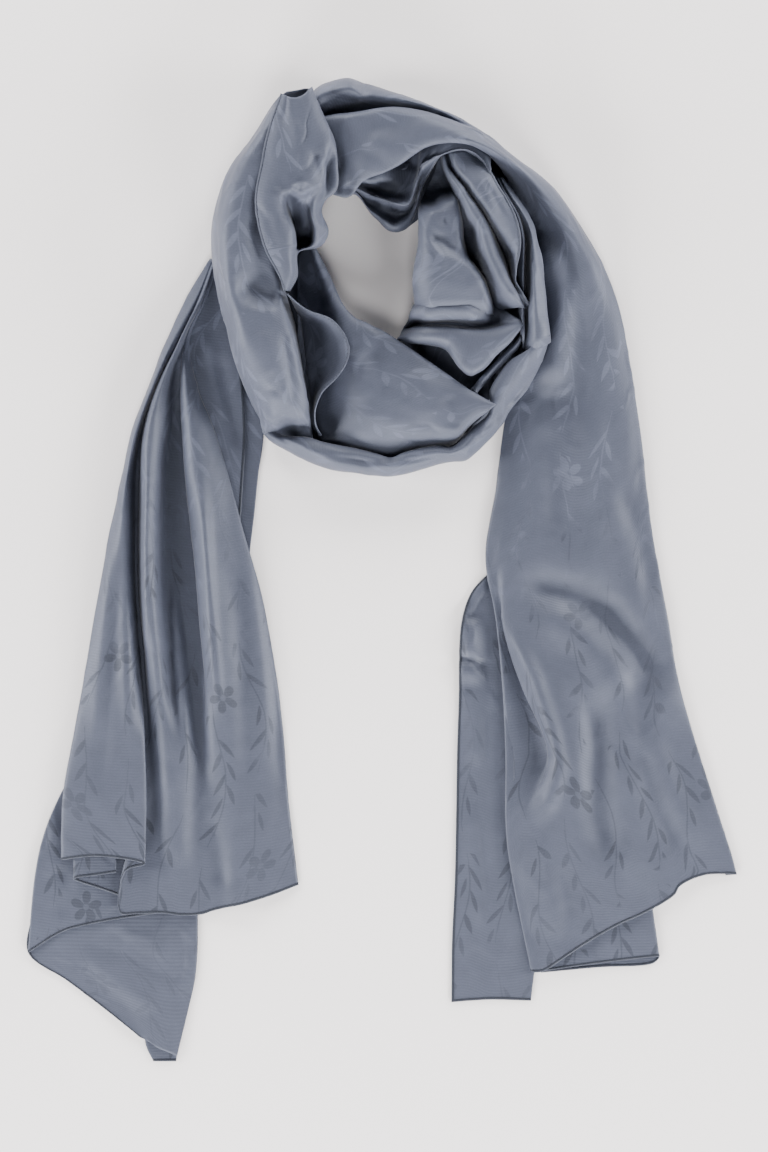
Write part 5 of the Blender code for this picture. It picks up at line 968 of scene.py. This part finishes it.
def crumpled(grid, salt, amount):
    """Fine uneven waves, as soft cloth has: broad ones, streaks along the folds, and patches of creases."""
    u, v = lengths_of(grid)
    waves = []
    for (x, y, z), across, along in zip(grid.reshape(-1, 3).tolist(), u.flat, v.flat):
        broad = noise.noise(Vector((x / BROAD[0] + salt, y / BROAD[1], z / BROAD[2])))
        streak = noise.noise(Vector((across / STREAK[0], along / STREAK[1] + salt, 0.5)))
        crease = noise.noise(Vector((across / CREASE[0], along / CREASE[1] + salt, 1.5)))
        patch = noise.noise(Vector((across / PATCH[0], along / PATCH[1], salt + 2.5))) + CREASED_SHARE
        creases = max(0.0, 1 - abs(crease) / CREASE_SPREAD) ** CREASE_SHARP * max(0.0, patch)
        waves.append(broad * BROAD_SHARE + streak * STREAK_SHARE - creases)
    grid += normals_of(grid) * (np.array(waves).reshape(grid.shape[:2] + (1,)) * amount)


def mesh_piece(name, points, faces, material, uvs=None):
    mesh = bpy.data.meshes.new(name)
    mesh.from_pydata((points * MM).tolist(), [], faces.tolist())
    if uvs is not None:
        layer = mesh.uv_layers.new(name="cloth")
        corners = np.empty(len(mesh.loops), np.int32)
        mesh.loops.foreach_get("vertex_index", corners)
        layer.data.foreach_set("uv", (uvs[corners] * MM).astype(np.float32).ravel())
    mesh.materials.append(material)
    mesh.shade_smooth()
    obj = bpy.data.objects.new(name, mesh)
    bpy.context.scene.collection.objects.link(obj)
    return obj


def quads(rows, columns, closed=False):
    """Faces between the points of a grid, and from its last column to its first if it is closed."""
    index = np.arange(rows * columns).reshape(rows, columns)
    if closed:
        index = np.concatenate([index, index[:, :1]], axis=1)
    corners = (index[:-1, :-1], index[:-1, 1:], index[1:, 1:], index[1:, :-1])
    return np.stack(corners, axis=-1).reshape(-1, 4)


def edge_of(grid, edge, columns):
    """Points of an edge of the cloth, the way in from it, and the cloth's normals there."""
    normals = normals_of(grid)
    if edge in ("start", "end"):
        grid, normals = grid.transpose(1, 0, 2), normals.transpose(1, 0, 2)
    if edge in columns:
        at = columns[edge]
        line, inner = grid[:, at] + normals[:, at] * HEM_LIFT, grid[:, at + 1]
    elif edge in ("first", "start"):
        at, line, inner = 0, grid[:, 0], grid[:, 1]
    else:
        at, line, inner = -1, grid[:, -1], grid[:, -2]
    up = normals[:, at]
    return line, unit(inner - line), up * np.where(up[:, 2:] < 0, -1, 1)


def hem_ring(line, inward, up):
    """Rolled cloth round an edge: (point of the edge, side, xyz)."""
    turn = np.arange(HEM_SIDES) * 2 * pi / HEM_SIDES
    across, over = (1 - np.cos(turn))[:, None] * HEM_WIDTH / 2, np.sin(turn)[:, None] * HEM_THICK / 2
    ring = line[:, None] + inward[:, None] * across + up[:, None] * over
    ring[..., 2] = np.maximum(ring[..., 2], FLOOR - SHEET / 2)
    return ring


def stitches_on(line, inward, up):
    """Points of the stitches along a hem, six for each: its ends and the corners of its middle."""
    run = np.concatenate([[0], np.cumsum(np.linalg.norm(np.diff(line, axis=0), axis=1))])
    seam = line + inward * HEM_WIDTH * SEAM_IN + up * HEM_THICK * SEAM_UP
    first, last = SEAM_GAPS
    body = []
    for s in np.arange(first, run[-1] - STITCH_LENGTH - last, STITCH_PITCH):
        a, b = (
            np.array([np.interp(at, run, seam[:, axis]) for axis in range(3)])
            for at in (s, s + STITCH_LENGTH)
        )
        k = int(np.searchsorted(run, s)) - 1
        middle, side, top = (a + b) / 2, inward[k] * STITCH_THICK / 2, up[k] * STITCH_THICK / 2
        body += [a, b, middle + side, middle + top, middle - side, middle - top]
    return body


def add_hem(name, grid, edges, columns, material, sewing):
    """Rolled hems along the sewn edges, and their stitches."""
    points, faces, body, sides = [], [], [], []
    for edge in edges:
        line, inward, up = edge_of(grid, edge, columns)
        faces.append(quads(len(line), HEM_SIDES, closed=True) + sum(len(ring) for ring in points))
        points.append(hem_ring(line, inward, up).reshape(-1, 3))
        body += stitches_on(line, inward, up)
    hem = mesh_piece("hem_" + name, np.concatenate(points), np.concatenate(faces), material)
    for start in range(0, len(body), STITCH_SIDES + 2):
        for k in range(STITCH_SIDES):
            one, two = start + 2 + k, start + 2 + (k + 1) % STITCH_SIDES
            sides += [(start, one, two), (start + 1, two, one)]
    stitches = mesh_piece("stitches_" + name, np.array(body), np.array(sides), sewing)
    return [hem, stitches]


def hidden_layers(walls):
    """Grid of the ring's hidden layers: over the core, and flat beneath the walls beside it."""
    graph = bpy.context.evaluated_depsgraph_get()
    core = BVHTree.FromObject(bpy.data.objects["neck_core"], graph)
    cover = [BVHTree.FromObject(wall, graph) for wall in walls]
    radii = np.arange(*LAYER_RADII)
    inner, outer = LAYER_INSETS
    grid = []
    for angle in np.radians(np.arange(0, 360 + LAYER_TURN, LAYER_TURN)):
        way = Vector((cos(angle), sin(angle), 0.0))
        places = [(Vector(LAYER_CENTRE) + way * float(r)) * MM for r in radii]
        under = [r for r, at in zip(radii, places) if any(w.ray_cast(at, UP)[0] for w in cover)]
        reach = np.linspace(min(under) + inner, max(under) - outer, LAYER_STEPS)
        row = [Vector(LAYER_CENTRE) + way * float(r) for r in reach]
        for at in row:
            hit = core.ray_cast(at * MM + UP, -UP)[0]
            at.z = max(hit.z / MM - SHEET, LAYER_FLOOR) if hit else LAYER_FLOOR
        grid.append([tuple(at) for at in row])
    return np.array(grid)


def dressed(name, index, grid, extras, materials, node):
    """The sheet laid through a grid, with its hems and stitches, in place of its node."""
    u, v = lengths_of(grid)
    uvs = np.stack([u + index * UV_STEPS[0], v + index * UV_STEPS[1]], axis=-1).reshape(-1, 2)
    kind = "back" if name in REVERSE else "face"
    faces = quads(*grid.shape[:2])
    cloth = mesh_piece("cloth_" + name, grid.reshape(-1, 3), faces, materials[kind], uvs)
    shell = cloth.modifiers.new("satin", "SOLIDIFY")
    shell.thickness = SHEET * MM
    shell.offset = 0.0
    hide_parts(node)
    for piece in (cloth, *extras):
        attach(piece, "root")
    return cloth


def add_cloth(index, name, rulers, folds, materials):
    """The cloth of one stretch, with its creases and hems."""
    tail = "_tail" in name
    grid = surface(rulers, folds)
    if name in REACHES:
        grid = reached(grid, *REACHES[name])
    creased(grid, CREASES.get(name, ()))
    crumpled(grid, index * SALT_STEP, TAIL_CRUMPLE if tail else RING_CRUMPLE)
    if name in TUCKS:
        tucked(grid, bpy.data.objects["cloth_" + TUCKS[name]])
    grid[..., 2] = np.maximum(grid[..., 2], FLOOR)
    extras = []
    if name in HEMS:
        counts = steps(net_of(rulers, folds), 0, FINE_ACROSS)
        columns = dict(zip([fold.name for fold in folds], [0, *np.cumsum(counts).tolist()]))
        hem = materials["tail hem" if tail else "hem"]
        extras = add_hem(name, grid, HEMS[name], columns, hem, materials["thread"])
    return dressed(name, index, grid, extras, materials, name)


# ---------------------------------------------------------------- studio
VIEW_DISTANCE = 5.0  # the studio's lengths are in metres
VIEW_MIDDLE = (0.001, -0.003)
VIEW_HEIGHT = 1152 * 0.65 * MM  # what the frame's rows take in, each 0.65 mm of the surface
SENSOR = 36.0
FLOOR_SIZE = 8.0
FLOOR_DEPTH = -0.0003
FLOOR_COLOUR = (0.8, 0.775, 0.775, 1.0)
FLOOR_ROUGHNESS = 0.9
WORLD_LIGHT = 0.08
PANEL_DISTANCE = 2.2
PANEL_SIZE = 0.8
PANEL_COLOUR = (1.0, 0.985, 0.98)
# Panels all round, most of them low over the surface: turn from the x axis and rise over the surface in
# degrees, and watts.
LIGHTS = (
    (0, 15, 96.0), (62, 15, 80.0), (118, 15, 80.0), (180, 15, 96.0), (242, 16, 108.0), (298, 16, 108.0),
    (270, 60, 22.0),
)
SATIN = (0.0455, 0.051, 0.0725)
# Name, colour and roughness of what is sewn.
THREADS = {
    "hem": ("satin_hem", (0.04, 0.0455, 0.064), 0.55),
    # The tails' hems are coloured far darker than the satin they are rolled from: painted shade, for the
    # shadow along them.
    "tail hem": ("tail_hem_painted_shade", (0.017, 0.02, 0.029), 0.6),
    # The thread is coloured dark as painted shade, for the small shadows at the stitches.
    "thread": ("thread", (0.02, 0.023, 0.033), 0.7),
}


def add_camera():
    data = bpy.data.cameras.new("camera")
    data.sensor_fit = "VERTICAL"
    data.sensor_height = SENSOR
    data.lens = SENSOR * VIEW_DISTANCE / VIEW_HEIGHT
    camera = bpy.data.objects.new("camera", data)
    camera.location = (*VIEW_MIDDLE, VIEW_DISTANCE)
    bpy.context.scene.collection.objects.link(camera)
    bpy.context.scene.camera = camera


def add_floor():
    bpy.ops.mesh.primitive_plane_add(size=FLOOR_SIZE, location=(0, 0, FLOOR_DEPTH))
    floor = bpy.context.object
    floor.name = "floor"
    paper, _, shader = new_material("floor")
    shader.inputs["Base Color"].default_value = FLOOR_COLOUR
    shader.inputs["Roughness"].default_value = FLOOR_ROUGHNESS
    floor.data.materials.append(paper)


def add_lights():
    world = bpy.data.worlds.new("studio")
    world.use_nodes = True
    back = world.node_tree.nodes["Background"]
    back.inputs["Color"].default_value = (*PANEL_COLOUR, 1.0)
    back.inputs["Strength"].default_value = WORLD_LIGHT
    bpy.context.scene.world = world
    for turn, rise, power in LIGHTS:
        data = bpy.data.lights.new("panel", "AREA")
        data.size = PANEL_SIZE
        data.energy = power
        data.color = PANEL_COLOUR
        panel = bpy.data.objects.new("panel", data)
        turn, rise = radians(turn), radians(rise)
        way = Vector((cos(turn) * cos(rise), sin(turn) * cos(rise), sin(rise)))
        panel.location = way * PANEL_DISTANCE
        panel.rotation_euler = way.to_track_quat("Z", "Y").to_euler()
        bpy.context.scene.collection.objects.link(panel)


def main():
    materials = {"face": satin("satin", SATIN, FACE), "back": satin("satin_back", SATIN, BACK)}
    materials.update({kind: thread(*look) for kind, look in THREADS.items()})
    add_camera()
    add_floor()
    add_lights()
    walls = [
        add_cloth(index, name, rulers, folds, materials)
        for index, (name, (rulers, folds)) in enumerate(STRETCHES.items())
    ]
    bpy.context.view_layer.update()
    ring = [wall for wall in walls if "left_tail" not in wall.name]
    layers = hidden_layers(ring)
    dressed("hidden_layers", len(walls), layers, [], materials, "neck_core")


main()
